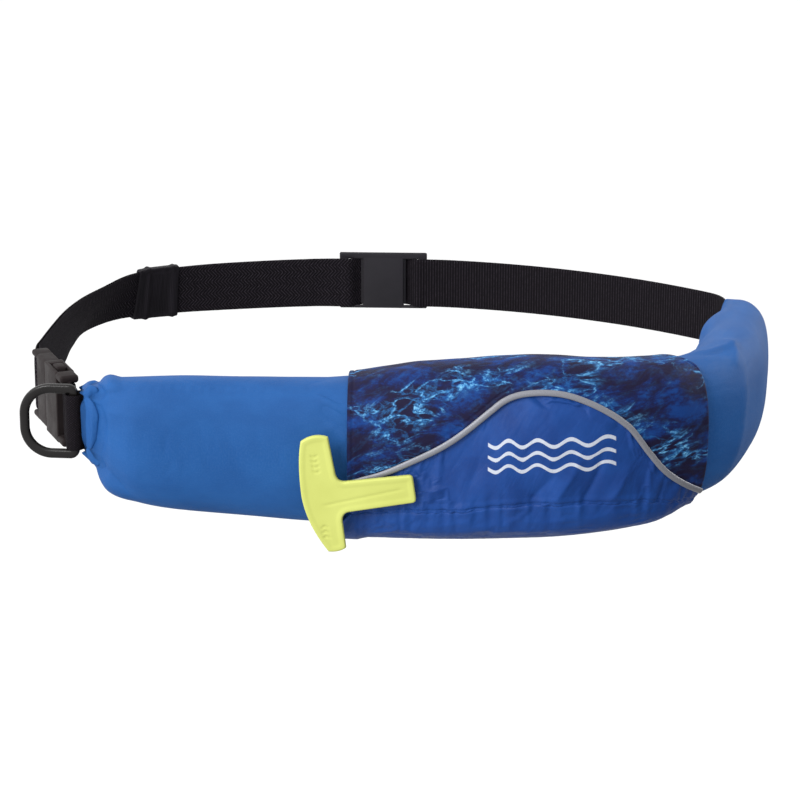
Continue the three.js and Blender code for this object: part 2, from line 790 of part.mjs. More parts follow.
function dRing() {
  const right = RING_BAR / 2;
  const left = right - RING_WIDE;
  const tall = ringTall / 2;
  const outline = (inset) => {
    const shape = new THREE.Shape();
    const r = Math.max(tall * 0.82 - inset, 2);
    const c = inset > 0 ? 0.2 : 4;
    const x0 = left + inset;
    const x1 = right - (inset > 0 ? RING_BAR : 0);
    const y = tall - inset;
    shape.moveTo(x1 - c, -y);
    shape.absarc(x1 - c, -y + c, c, -Math.PI / 2, 0);
    shape.absarc(x1 - c, y - c, c, 0, Math.PI / 2);
    shape.absarc(x0 + r, y - r, r, Math.PI / 2, Math.PI);
    shape.absarc(x0 + r, -y + r, r, Math.PI, 1.5 * Math.PI);
    shape.closePath();
    return shape;
  };
  const shape = outline(0);
  shape.holes.push(outline(RING_LIMB));
  const ring = plate(shape, RING_THICK, 1.2, 4).rotateX(Math.PI / 2).rotateZ(-rad(RING_BACK));
  return placeAtNeck(ring, ringAxis);
}

function placeAtNeck(geometry, place) {
  const back = neck.out.clone().negate();
  const basis = new THREE.Matrix4().makeBasis(neck.ahead, back, new THREE.Vector3(0, 0, 1));
  return geometry.applyMatrix4(basis.setPosition(place));
}

function dRingLoop() {
  const facing = THREE.MathUtils.radToDeg(Math.atan2(neck.ahead.y, neck.ahead.x));
  const into = neck.point.clone().addScaledVector(neck.out, LOOP_OFF);
  const at = (length, off) => ({
    point: into.clone().addScaledVector(neck.ahead, length).addScaledVector(neck.out, off),
  });
  const path = [at(TAB_TUCK, -layerOff), at(0, -layerOff)];
  path.push(...aroundBar(ringAxis, ringTurn, facing + 60, facing + 300, 8));
  path.push(at(0, layerOff), at(TAB_TUCK, layerOff));
  return webbing(path);
}

// Slider: a flat frame with two slots and a wide middle bar.
function sliderFrame() {
  const tall = WEB_WIDE + 2 * GAP + 2 * SLIDER_LIP;
  let body = solidOf(plate(roundedBox(SLIDER_LONG, tall, 4), SLIDER_THICK, 0.5, 4));
  for (const side of [-1, 1]) {
    const middle = side * (SLIDER_PLATE / 2 + SLIDER_SLOT / 2);
    body = body.subtract(solidOf(box(SLIDER_SLOT, slotTall, SLIDER_THICK * 3, middle)));
  }
  const up = new THREE.Vector3(0, 0, 1);
  const basis = new THREE.Matrix4().makeBasis(slider.ahead, up, slider.out.clone());
  return geometryOf(body).applyMatrix4(basis.setPosition(slider.point));
}

function keeperBand() {
  const off = WEB_THICK + GAP / 2 + GAP;
  const tall = WEB_WIDE / 2 + GAP;
  const from = KEEPER_PLACE - KEEPER_LONG / 2;
  const ring = (length, wall) => {
    const { point, lean } = onBelt(length, 0);
    const { out } = beltLine.at(length);
    return [
      [1, 1],
      [-1, 1],
      [-1, -1],
      [1, -1],
    ].map(([side, up]) =>
      point
        .clone()
        .addScaledVector(out, side * (off + wall))
        .addScaledVector(lean, -up / 2)
        .add(new THREE.Vector3(0, 0, up * (tall + wall))),
    );
  };
  const lengths = spread(from, from + KEEPER_LONG, 5);
  const outer = lengths.map((length) => ring(length, KEEPER_WALL));
  const inner = lengths.map((length) => ring(length, 0)).reverse();
  return ringBody([...outer, ...inner], true);
}

// Pull handle: a bowed bar with a stem. The stem lies over the panel, where a patch holds it.

function handleOutline() {
  const half = HANDLE_BAR_LONG / 2;
  const side = HANDLE_BAR_WIDE / 2;
  const end = side + HANDLE_STEM_LONG;
  const top = HANDLE_STEM_WIDE / 2 - HANDLE_STEM_LOW;
  const low = -HANDLE_STEM_WIDE / 2 - HANDLE_STEM_LOW;
  const round = 3;
  const fillet = 6;
  const shape = new THREE.Shape();
  shape.moveTo(-side * 0.1, -half);
  shape.quadraticCurveTo(-side * 1.15, -half * 0.5, -side * 1.2, 0);
  shape.quadraticCurveTo(-side * 1.15, half * 0.6, -side * 0.75, half * 0.93);
  shape.quadraticCurveTo(side * 0.1, half * 1.06, side * 0.9, half * 0.95);
  shape.lineTo(side, top + fillet);
  shape.quadraticCurveTo(side * 1.05, top, side + fillet, top);
  shape.lineTo(end - round, top - 1);
  shape.quadraticCurveTo(end, top - 1, end, top - 1 - round);
  shape.lineTo(end, low + 1 + round);
  shape.quadraticCurveTo(end, low + 1, end - round, low + 1);
  shape.lineTo(side + fillet, low);
  shape.quadraticCurveTo(side * 1.05, low, side, low - fillet);
  shape.lineTo(side * 0.98, -half * 0.97);
  shape.quadraticCurveTo(side * 0.5, -half * 1.04, -side * 0.1, -half);
  return shape;
}

// How far the panel stands out from the webbing line under the patch.
function panelReach() {
  const middle = coverLength(HANDLE_PLACE.across);
  const { point, out } = pouchLine.at(middle);
  const half = turnFor(middle, HANDLE_PLACE.turn, PATCH_WIDE / 2);
  let reach = 0;
  for (const step of spread(-1, 1, 0.25)) {
    const across = HANDLE_PLACE.across + (step * PATCH_LONG) / 2 / COVER_LONG;
    for (const way of spread(-1, 1, 0.25)) {
      const turn = HANDLE_PLACE.turn + way * half;
      const lift = panelLift(across, turn) + PANEL_WALL;
      reach = Math.max(reach, offPouch(coverLength(across), turn, lift).sub(point).dot(out));
    }
  }
  return reach;
}

// Puts a piece into the handle's frame, whose origin is the middle of the patch on the panel.
function placeOnPanel(geometry, off) {
  const middle = coverLength(HANDLE_PLACE.across);
  const { point, ahead, out } = pouchLine.at(middle);
  const up = new THREE.Vector3(0, 0, 1);
  const level = onPouch(middle, HANDLE_PLACE.turn).z;
  const place = point.clone().addScaledVector(out, panelReach() + off).setZ(level);
  const basis = new THREE.Matrix4().makeBasis(ahead, up, out).setPosition(place);
  return geometry.rotateZ(rad(HANDLE_TILT)).applyMatrix4(basis);
}

function pullHandle() {
  const made = plate(handleOutline(), HANDLE_THICK, 0.9, 4);
  const stemMiddle = HANDLE_BAR_WIDE / 2 + HANDLE_STEM_LONG - PATCH_LONG / 2 - 6;
  made.translate(-stemMiddle, HANDLE_STEM_LOW, 0);
  return placeOnPanel(made, 2 * GAP + PATCH_THICK + HANDLE_THICK / 2);
}

function handlePatch() {
  const made = plate(roundedBox(PATCH_LONG, PATCH_WIDE, 2), PATCH_THICK, 0, 2);
  return placeOnPanel(made, GAP + PATCH_THICK / 2);
}

const group = new THREE.Group();

function add(name, geometry, colour, roughness, metalness = 0) {
  const material = new THREE.MeshStandardMaterial({ color: colour, roughness, metalness });
  const mesh = new THREE.Mesh(geometry, material);
  mesh.name = name;
  group.add(mesh);
}

const NYLON = 0x2f62c4;
const SATIN = 0x24479c;
const PRINT = 0x1b3f86;
const SILVER = 0xb9bcc4;
const YELLOW = 0xd6e94a;
const BLACK = 0x1c1b1f;

add("pouch_shell", pouchShell(), NYLON, 0.6);
add("folded_bladder", foldedBladder(), NYLON, 0.7);
add("front_cover", frontCover(), PRINT, 0.5);
add("pocket_panel", pocketPanel(), SATIN, 0.45);
add("pocket_hem", pocketHem(), SATIN, 0.45);
add("piping", piping(), SILVER, 0.4);
add("pull_handle", pullHandle(), YELLOW, 0.5);
add("handle_patch", handlePatch(), BLACK, 0.9);
add("d_ring", dRing(), BLACK, 0.4);
add("d_ring_loop", dRingLoop(), BLACK, 0.85);
add("buckle_socket", buckleSocket(), BLACK, 0.4);
add("buckle_plug", bucklePlug(), BLACK, 0.4);
add("buckle_tab", buckleTab(), BLACK, 0.85);
add("belt_webbing", beltWebbing(), BLACK, 0.85);
add("slider", sliderFrame(), BLACK, 0.35);
add("keeper", keeperBand(), BLACK, 0.5);

export default group;
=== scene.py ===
"""The looks of an inflatable belt pack: nylon pouch, printed cover, satin pocket, webbing and hardware.

Sizes in the tables are millimetres in the frame of the pack: +Z up, the wearer faces -Y, and the origin is
the middle of the waist loop. Meshes are written in metres.
"""

import math

import bpy
import numpy as np
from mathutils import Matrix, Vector
from mathutils.geometry import delaunay_2d_cdt


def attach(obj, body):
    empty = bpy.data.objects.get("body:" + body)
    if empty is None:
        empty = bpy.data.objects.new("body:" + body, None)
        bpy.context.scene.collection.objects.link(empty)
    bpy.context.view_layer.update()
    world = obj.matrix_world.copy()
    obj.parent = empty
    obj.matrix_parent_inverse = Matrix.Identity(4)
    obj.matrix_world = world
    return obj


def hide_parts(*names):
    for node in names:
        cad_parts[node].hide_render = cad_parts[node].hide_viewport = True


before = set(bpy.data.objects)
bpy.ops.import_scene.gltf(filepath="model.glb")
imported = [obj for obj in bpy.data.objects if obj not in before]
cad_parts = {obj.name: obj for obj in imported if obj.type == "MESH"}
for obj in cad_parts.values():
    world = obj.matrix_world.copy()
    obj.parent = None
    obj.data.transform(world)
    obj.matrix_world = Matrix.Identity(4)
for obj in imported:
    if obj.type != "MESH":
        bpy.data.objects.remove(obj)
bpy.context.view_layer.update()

# Metres in a millimetre, and millimetres in the decimetre that the cloth map counts in.
MM, PER_MM = 0.001, 100
PACK = "pack"

# Sizes shared with the solids

LOOP_WIDE, LOOP_DEEP = 498, 351
WEB_WIDE, WEB_THICK, GAP = 38, 1.6, 0.4
POUCH_DEEP, POUCH_TALL = 60, 112
SHELL_WALL, NECK_WALL_ROOM = 1.6, 0.8
COVER_START, COVER_LONG = 178, 214
COVER_WALL, COVER_GAP, COVER_LIFT, COVER_CORNER, EDGE_LIFT = 2, 1.3, 2.6, 11, 2.5
PANEL_WALL, PANEL_PUFF, PUCKER_DEEP, PUCKERS = 2, 5, 0.6, 7
HEM_THICK = 4
PIPING_WIDE, PIPING_THICK, SEAM_GAP = 4.2, 2.2, 0.9
COVER_TOP_TURN, COVER_CORNER_TURN, HEM_LOW_TURN = 118, 78, -88
HANDLE_BAR_LONG, HANDLE_BAR_WIDE, HANDLE_STEM_LONG, HANDLE_STEM_WIDE = 80, 22, 50, 21
HANDLE_STEM_LOW, HANDLE_THICK, PATCH_LONG, PATCH_WIDE, PATCH_THICK = 4, 4, 24, 15, 2.2
HANDLE_ACROSS, HANDLE_TURN, HANDLE_TILT = 0.13, -13, 8
RING_WIDE, RING_LIMB, RING_THICK, RING_BAR, RING_BACK = 40, 6.4, 5, 6.5, 13
BUCKLE_WIDE, BUCKLE_THICK, SOCKET_LONG, PLUG_LONG = 50, 13, 42, 36
BUCKLE_WALL, BUCKLE_BAR, BUCKLE_BAR_THICK, BUCKLE_SLOT = 2.4, 4, 4, 8
SLIDER_LONG, SLIDER_THICK, SLIDER_LIP, SLIDER_PLATE, SLIDER_SLOT, SLIDER_PLACE = 68, 2.6, 3.6, 32, 11, 303
KEEPER_LONG, KEEPER_WALL, KEEPER_PLACE = 35, 1.5, 482
BELT_TUCK, TAB_TUCK, TAB_OFF, LOOP_OFF, TAB_REACH, TAB_OUT, BUCKLE_TURN = 14, 8, 3.4, 4.4, 8.5, 17.8, 111.4
SLOT_TALL = WEB_WIDE + 2 * GAP
UP = np.array([0, 0, 1.0])

# Pouch line in plan: across and back, shares of half the loop's width and depth.
POUCH_ROUTE = np.array([
    (-0.826, -1.045), (-0.72, -1.025), (-0.5, -0.985), (-0.14, -0.98), (0.26, -0.995), (0.56, -0.965),
    (0.75, -0.84), (0.85, -0.6), (0.912, -0.285), (0.956, 0), (0.99, 0.24),
])

# Belt line in plan: across, back, lean (how far the lower edge stands out, share of the width).
BELT_ROUTE = np.array([
    (0.975, 0.36, 0), (0.9, 0.47, 0), (0.7, 0.675, 0), (0.46, 0.845, 0), (0.21, 0.955, 0), (-0.04, 1, 0),
    (-0.29, 0.98, 0.04), (-0.54, 0.915, 0.1), (-0.66, 0.865, 0.2), (-0.77, 0.8, 0.3), (-0.835, 0.73, 0.45),
    (-0.9, 0.56, 0.55), (-0.945, 0.32, 0.27), (-0.97, 0.03, 0.03), (-0.993, -0.3, 0),
])

# Sections of the pouch: along, front, inner, rise, drop (shares), square (2 an oval, 4 nearly a box).
ALONG, FRONT, INNER, RISE, DROP, SQUARE = range(6)
SECTIONS = np.array([
    (0, 0.2, 0.15, 0.195, 0.195, 6), (0.008, 0.22, 0.17, 0.205, 0.22, 4.6),
    (0.018, 0.34, 0.17, 0.245, 0.33, 3.2), (0.027, 0.46, 0.15, 0.268, 0.39, 2.8),
    (0.055, 0.62, 0.11, 0.28, 0.475, 2.8), (0.1, 0.7, 0.08, 0.285, 0.52, 2.8),
    (0.18, 0.75, 0.07, 0.275, 0.56, 2.8), (0.27, 0.82, 0.07, 0.275, 0.59, 2.8),
    (0.38, 0.92, 0.07, 0.355, 0.59, 2.8), (0.5, 0.96, 0.07, 0.4, 0.58, 2.7),
    (0.6, 0.86, 0.07, 0.355, 0.545, 2.7), (0.68, 0.76, 0.07, 0.335, 0.5, 2.6),
    (0.76, 0.72, 0.07, 0.33, 0.43, 2.6), (0.87, 0.62, 0.07, 0.28, 0.34, 2.4),
    (0.94, 0.54, 0.085, 0.25, 0.28, 2.5), (0.975, 0.42, 0.1, 0.23, 0.24, 2.7),
    (0.993, 0.22, 0.085, 0.205, 0.205, 3), (1, 0.075, 0.065, 0.195, 0.195, 5),
])

# The wave between cover and pocket: across (share of the cover), turn (degrees, 0 to the front).
WAVE = np.array([
    (0, -9), (0.11, -4), (0.23, 1), (0.29, 5), (0.345, 11.5), (0.4, 21.5), (0.455, 33), (0.515, 39.5),
    (0.575, 41), (0.63, 40), (0.675, 36), (0.72, 29.5), (0.77, 19), (0.82, 4), (0.87, -8), (0.93, -24),
    (1, -46),
])

# The seam between pocket and hem, in the same terms.
HEM_LINE = np.array([
    (0, -34), (0.17, -31), (0.32, -30), (0.46, -27), (0.6, -26), (0.72, -28), (0.82, -32), (0.89, -40),
    (0.95, -51), (1, -62),
])


# Numbers

def smooth(x, y, place):
    """Value of a table at a place: cubic pieces whose slopes are harmonic means, so it never overshoots."""
    place = np.clip(place, x[0], x[-1])
    rise = np.diff(y) / np.diff(x)
    before, after = rise[:-1], rise[1:]
    both = before * after
    inner = np.where(both > 0, 2 * both / np.where(both > 0, before + after, 1), 0)
    slope = np.concatenate([rise[:1], inner, rise[-1:]])
    i = np.clip(np.searchsorted(x, place, "right") - 1, 0, len(x) - 2)
    wide = x[i + 1] - x[i]
    t = (place - x[i]) / wide
    return (y[i] * (1 + 2 * t) * (1 - t) ** 2 + y[i + 1] * t * t * (3 - 2 * t)
            + slope[i] * wide * t * (1 - t) ** 2 - slope[i + 1] * wide * t * t * (1 - t))


def step(x, start, stop):
    """0 up to start, 1 from stop on, and an even S between them; stop may be the lower one."""
    t = np.clip((x - start) / (stop - start), 0, 1)
    return t * t * (3 - 2 * t)


def hill(x, middle, half):
    """1 in the middle, 0 from half on to either side, with even slopes."""
    return step(np.abs(x - middle), half, 0)


def unit(v):
    """Vectors brought to the length 1."""
    return v / np.maximum(np.linalg.norm(v, axis=-1, keepdims=True), 1e-9)


def wander(x, seed, size=1.0):
    """A slow uneven wave between about -1 and 1: three sines whose lengths don't divide each other."""
    x = x / size
    slow, middle = np.sin(x * 2.1 + seed * 1.7), 0.7 * np.sin(x * 3.7 + seed * 4.1 + 1)
    return (slow + middle + 0.5 * np.sin(x * 6.3 + seed * 2.9)) / 2.2


def squared(v, power):
    """A power of a number's size that keeps its sign: it squares off a sine or cosine when under 1."""
    return np.sign(v) * np.abs(v) ** power


def distances(points):
    """Distance from the first point of a line to each of its points, along it."""
    return np.concatenate([[0], np.cumsum(np.linalg.norm(np.diff(points, axis=0), axis=1))])


def evenly(points, count):
    """As many points at even distances round a closed outline."""
    closed = np.vstack([points, points[:1]])
    s = distances(closed)
    even = np.linspace(0, s[-1], count, endpoint=False)
    return np.stack([np.interp(even, s, closed[:, k]) for k in (0, 1)], -1)


class Line:
    """A centripetal Catmull-Rom line in plan through points, read by the length along it."""

    PIECES = 200

    def __init__(self, points):
        """Each span between two points is a cubic whose slopes are set by the roots of the chords' lengths,
        cut into PIECES straight ones."""
        p = np.vstack([2 * points[0] - points[1], points, 2 * points[-1] - points[-2]])
        knot = np.sqrt(np.linalg.norm(np.diff(p, axis=0), axis=1))
        t = np.linspace(0, 1, self.PIECES, endpoint=False)[:, None]
        parts = []
        for k in range(1, len(p) - 2):
            a, b, c = knot[k - 1], knot[k], knot[k + 1]
            p0, p1, p2, p3 = p[k - 1:k + 3]
            m1 = b * ((p1 - p0) / a - (p2 - p0) / (a + b) + (p2 - p1) / b)
            m2 = b * ((p2 - p1) / b - (p3 - p1) / (b + c) + (p3 - p2) / c)
            parts.append((2 * t**3 - 3 * t**2 + 1) * p1 + (t**3 - 2 * t**2 + t) * m1
                         + (3 * t**2 - 2 * t**3) * p2 + (t**3 - t**2) * m2)
        self.p = np.vstack(parts + [p[-2][None]])
        self.s = distances(self.p)
        self.long = self.s[-1]
        self.knots = self.s[::self.PIECES]
        self.tangent = unit(np.gradient(self.p, self.s, axis=0))

    def at(self, length):
        """Points, the way ahead and the way out of the loop at lengths, straight on past both ends."""
        length = np.asarray(length, float)
        inside = np.clip(length, 0, self.long)
        level = [inside * 0]
        read = lambda table: np.stack([np.interp(inside, self.s, table[:, k]) for k in (0, 1)] + level, -1)
        point, ahead = read(self.p), unit(read(self.tangent))
        out = np.stack([ahead[..., 1], -ahead[..., 0], inside * 0], -1)
        return point + ahead * (length - inside)[..., None], ahead, out


half_loop = np.array([LOOP_WIDE, LOOP_DEEP]) / 2
pouch_line = Line(POUCH_ROUTE * half_loop)
POUCH_LONG = pouch_line.long


# Surfaces of the pouch

def on_pouch(length, turn):
    """Outer face of the sleeve: a rounded box section, its corners sharper with square, on the line."""
    length, turn = np.broadcast_arrays(np.asarray(length, float), np.asarray(turn, float))
    share = np.clip(length / POUCH_LONG, 0, 1)
    room = WEB_WIDE / 2 + NECK_WALL_ROOM + SHELL_WALL
    read = lambda column: smooth(SECTIONS[:, ALONG], SECTIONS[:, column], share)
    front, inner = (np.maximum(read(k) * POUCH_DEEP, SHELL_WALL + WEB_THICK) for k in (FRONT, INNER))
    rise, drop = (np.maximum(read(k) * POUCH_TALL, room) for k in (RISE, DROP))
    power = 2 / read(SQUARE)
    angle = np.radians(turn)
    off = (front - inner) / 2 + (front + inner) / 2 * squared(np.cos(angle), power)
    level = (rise - drop) / 2 + (rise + drop) / 2 * squared(np.sin(angle), power)
    point, _, out = pouch_line.at(length)
    point = point + out * off[..., None]
    point[..., 2] = level
    return point


def pouch_normal(length, turn):
    """The way out of the cloth: along the sleeve crossed with the way round it."""
    along = on_pouch(length + 1, turn) - on_pouch(length - 1, turn)
    around = on_pouch(length, turn + 1) - on_pouch(length, turn - 1)
    return unit(np.cross(along, around))


def off_pouch(length, turn, lift):
    """Points that stand off the sleeve's face by a lift."""
    return on_pouch(length, turn) + pouch_normal(length, turn) * np.asarray(lift)[..., None]


def folds(points, table, over):
    """Relief of creases: each row runs from a length and turn to others and has a width and a height. Its
    height falls off as a rounded tent with the distance from that line, and to nothing at both its ends."""
    total = np.zeros(points.shape[:-1])
    share = np.linspace(0, 1, 21)
    for l0, t0, l1, t1, wide, high in table:
        line = over(l0 + (l1 - l0) * share, t0 + (t1 - t0) * share)
        best = np.zeros(total.shape)
        near = np.linalg.norm(points - line[10], axis=-1) < np.linalg.norm(line[0] - line[-1]) / 2 + 5 * wide
        for point, here in zip(line, share):
            away = np.sqrt(((points[near] - point) ** 2).sum(-1) + 0.5)
            best[near] = np.maximum(best[near], np.exp(-away / wide) * math.sin(math.pi * here) ** 0.6)
        total += high * best
    return total


# Meshes

def faces_of(rows, cols, wrap_rows=False, wrap_cols=False):
    """Quads of a grid of rows by cols points."""
    r = np.arange(rows if wrap_rows else rows - 1)
    c = np.arange(cols if wrap_cols else cols - 1)
    r, c = np.meshgrid(r, c, indexing="ij")
    r2, c2 = (r + 1) % rows, (c + 1) % cols
    return np.stack([r * cols + c, r2 * cols + c, r2 * cols + c2, r * cols + c2], -1).reshape(-1, 4)


def make_piece(name, points, faces, uv=None, extra=(), girth=0):
    """A mesh object from points in millimetres, with its faces turned out and its own UV map in decimetres.
    Where the cloth closes round a girth, the corners past the closing line get one girth more."""
    points = np.asarray(points, float).reshape(-1, 3)
    every = [tuple(f) for f in np.asarray(faces).tolist()] + [tuple(f) for f in extra]
    tris = np.array([(f[0], f[k], f[k + 1]) for f in every for k in range(1, len(f) - 1)])
    a, b, c = (points[tris[:, k]] for k in range(3))
    if np.einsum("ij,ij->i", a, np.cross(b, c)).sum() < 0:
        every = [f[::-1] for f in every]
    mesh = bpy.data.meshes.new(name)
    mesh.from_pydata((points * MM).tolist(), [], every)
    if uv is not None:
        layer = mesh.uv_layers.new(name="cloth")
        corner = np.empty(len(mesh.loops), np.int32)
        mesh.loops.foreach_get("vertex_index", corner)
        placed_uv = np.asarray(uv, float).reshape(-1, 2)[corner]
        if girth:
            quads = placed_uv[:, 1].reshape(-1, 4)
            across_it = np.ptp(quads, axis=1, keepdims=True) > girth / 2
            placed_uv[:, 1] = np.where(across_it & (quads < girth / 2), quads + girth, quads).ravel()
        layer.data.foreach_set("uv", (placed_uv / PER_MM).astype(np.float32).ravel())
    mesh.polygons.foreach_set("use_smooth", [True] * len(mesh.polygons))
    mesh.update()
    made = bpy.data.objects.new(name, mesh)
    bpy.context.scene.collection.objects.link(made)
    return made


def skin(name, outer, inner, uv):
    """A thin closed skin from two grids: each row runs out over the outer face and back over the inner."""
    rows, cols = outer.shape[:2]
    points = np.concatenate([outer, inner[:, ::-1]], 1)
    count = 2 * cols
    faces = faces_of(rows, count, wrap_cols=True)
    k = np.arange(cols - 1)
    first = np.stack([k, k + 1, count - 2 - k, count - 1 - k], -1)
    last = (rows - 1) * count + first[:, ::-1]
    return make_piece(name, points, np.vstack([faces, first, last]), np.concatenate([uv, uv[:, ::-1]], 1))


def end_caps(rows, count):
    """The two end faces of a body that is carried along in rows of count points."""
    return [tuple(range(count)), tuple((rows - 1) * count + k for k in range(count))[::-1]]


def edged(count, rim):
    """Shares from 0 to 1 with a few extra close to both ends, within rim."""
    near = rim * np.array([0, 0.07, 0.22, 0.45, 0.75])
    return np.concatenate([near, np.linspace(rim, 1 - rim, count), 1 - near[::-1]])


def rimmed(distance, rim):
    """Thickness of a cloth's rounded edge: a quarter circle over the rim, then full."""
    t = np.clip(distance / rim, 0, 1)
    return 0.15 + 0.85 * np.sqrt(1 - (1 - t) ** 2)


# Pouch

# Swells of the pouch: height; middle and half of its length; its turn, and how many degrees from it the
# swell is nothing and full. The first two are the corners behind the neck, the others the tip's inner side.
POUCH_SWELLS = [
    (4.0, 16, 17, -95, 66, 25),
    (1.8, 18, 8, 90, 50, 20),
    (10.0, POUCH_LONG - 64, 50, 180, 80, 20),
    (6.0, POUCH_LONG - 128, 48, 180, 80, 20),
]
# The deep fold behind the neck's lobes, the scallops of the neck's edge, and how much the rows crowd.
NECK_FOLD_DEEP, FOLD_HALF_WIDE = 4.4, 3.8
NECK_SCALLOP, NECK_EDGE = 1.6, 6
CROWDING = 0.11


def pouch_lift(length, turn):
    """Relief of the sleeve: full corners behind the neck, the tip's fuller inner side and slow waves, and
    the creases of the table; the neck's lobes and the cloth's own swelling are added after it."""
    points = on_pouch(length, turn)
    swells = 0
    for high, middle, half, side, none, full in POUCH_SWELLS:
        away = np.abs((turn - side + 180) % 360 - 180)
        swells = swells + high * hill(length, middle, half) * step(away, none, full)
    tip = 0.4 * step(length, POUCH_LONG - 24, POUCH_LONG - 4) * wander(turn, 5, 30)
    slack = 0.25 * wander(length + 0.4 * turn, 2, 46) * wander(turn - 0.3 * length, 4, 70)
    slack = slack * step(length, 40, 80)
    return swells + tip + slack + folds(points, POUCH_FOLDS, on_pouch)


def neck_lift(length, turn):
    """How far the tied end stands out from its middle: round lobes with creases between them, and the deep
    fold behind them, whose line wanders."""
    lobes = np.abs(np.cos(np.radians(turn * 3.4 - 20 + 10 * np.sin(turn / 25)))) ** 0.8
    behind = 6.6 + 4.4 * lobes + 0.8 * np.sin(turn / 7)
    round_front = 0.35 + 0.65 * step(np.abs(turn - 5), 110, 60)
    swelling = (2.4 + 3.4 * lobes) * hill(length, behind * 0.42, behind * 0.62)
    fold = -NECK_FOLD_DEEP * hill(length, behind, FOLD_HALF_WIDE) * (0.6 + 0.4 * lobes)
    return round_front * (swelling + fold)


# Creases of the pouch: from length, turn to length, turn; width; height.
POUCH_FOLDS = [
    (24, 62, 166, 68, 2.6, -0.8),
    (152, 78, 176, 42, 3, -3.6),
    (157, 60, 178, 34, 3, 3.0),
    (160, 42, 180, 18, 3, -3.4),
    (165, 24, 182, 4, 3, 2.0),
    (168, 8, 182, -8, 3, -2.0),
    (12, 46, 32, 66, 3, -1.8),
    (13, 20, 26, 27, 3, 0.9),
    (13, -30, 30, -52, 3, -1.8),
    (399, 98, 436, 72, 3, 1.8),
    (402, 88, 430, 64, 4, -2.0),
    (400, 76, 418, 56, 3, 1.0),
    (438, 88, 414, 48, 5, 4.2),
    (424, 62, 406, -46, 13, 4.4),
    (392, 54, 394, -34, 9, -1.2),
    (430, 72, 446, 80, 4, 1.2),
    (556, 150, 588, 120, 5, -0.8),
]


def pouch_lengths(share):
    """Lengths along the sleeve for even shares, crowded toward both ends."""
    return (share - CROWDING * np.sin(2 * math.pi * share)) * POUCH_LONG


def make_pouch():
    """The sleeve: outer face by length and turn, turned in at both ends and run back inside the wall.
    Its neck's edge is scalloped by the gathers. The closing line of the grid lies on the inner side."""
    rows, sides, inner_step = 420, 150, 28
    share = np.linspace(0, 1, rows)
    length = pouch_lengths(share)
    turn = np.linspace(-180, 180, sides, endpoint=False)
    s, t = np.meshgrid(length, turn, indexing="ij")
    s = s - (NECK_SCALLOP + 1.2 * np.sin(t / 10 + 1)) * step(s, NECK_EDGE, 0)
    outer = off_pouch(s, t, pouch_lift(s, t)) + sleeve_swelling(share, turn)
    spoke = on_pouch(s, t) - pouch_line.at(s)[0]
    outer += unit(spoke) * neck_lift(s, t)[..., None]
    back = length[::-inner_step]
    s2, t2 = np.meshgrid(back, turn, indexing="ij")
    inner = off_pouch(s2, t2, np.full(s2.shape, -SHELL_WALL))
    points = np.concatenate([outer, inner])
    girth = 360.0
    uv = np.stack([np.concatenate([s, s2]), np.concatenate([t, t2]) + girth / 2], -1)
    return make_piece("pouch", points, faces_of(len(points), len(turn), True, True), uv, (), girth)


# Cloth simulation: pressure and the farthest move allowed, of the sleeve and of the sewn cloths, how far
# a sewn cloth may move in, and the number of steps.
SLEEVE_PRESSURE, SLEEVE_SWELL = 3.0, 1.2
SEWN_PRESSURE, SEWN_SWELL, LEAST_OUT = 2.0, 2.6, -0.6
SIM_FRAMES = 20


def sleeve_swelling(share, turn):
    """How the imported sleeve's cloth swells and wrinkles, as moves of the fine grid's points: held at its
    neck, at its tip, under the cover and a little on the side that rests on the wearer."""
    rows, cols = 130, 60
    length = pouch_lengths(np.linspace(0, 1, rows))
    s, t = np.meshgrid(length, np.linspace(-180, 180, cols, endpoint=False), indexing="ij")
    cover_stop = COVER_START + COVER_LONG
    covered = step(s, COVER_START - 14, COVER_START + 6) * step(s, cover_stop + 8, cover_stop - 8)
    held = np.maximum.reduce([step(s, 70, 16), step(s, POUCH_LONG - 26, POUCH_LONG - 8), covered,
                              0.5 * step(np.abs(t), 140, 165)])
    moves = blown(on_pouch(s, t), faces_of(rows, cols, wrap_cols=True), held, 0.0, SLEEVE_PRESSURE)
    moves = capped(moves, SLEEVE_SWELL)
    moves = np.concatenate([moves, moves[:, :1]], 1)
    return spread_moves(moves, share * (rows - 1), (turn + 180) / 360 * cols)


def capped(moves, cap):
    """Moves shortened to the cap where they are longer."""
    far = np.linalg.norm(moves, axis=-1, keepdims=True)
    return moves * np.minimum(1, cap / np.maximum(far, 1e-6))


def spread_moves(moves, row, col):
    """Moves of a coarse grid read at finer rows and columns, by a Catmull-Rom cubic through its points."""
    def read(grid, place):
        """The grid's rows read at places between them."""
        k = np.clip(np.floor(place).astype(int), 0, len(grid) - 2)
        before, after = grid[np.maximum(k - 1, 0)], grid[np.minimum(k + 2, len(grid) - 1)]
        here, there = grid[k], grid[k + 1]
        t = (place - k).reshape(-1, *[1] * (grid.ndim - 1))
        return here + 0.5 * t * (there - before + t * (2 * before - 5 * here + 4 * there - after
                                                       + t * (3 * (here - there) + after - before)))
    rows_read = read(moves, row)
    return np.swapaxes(read(np.swapaxes(rows_read, 0, 1), col), 0, 1)


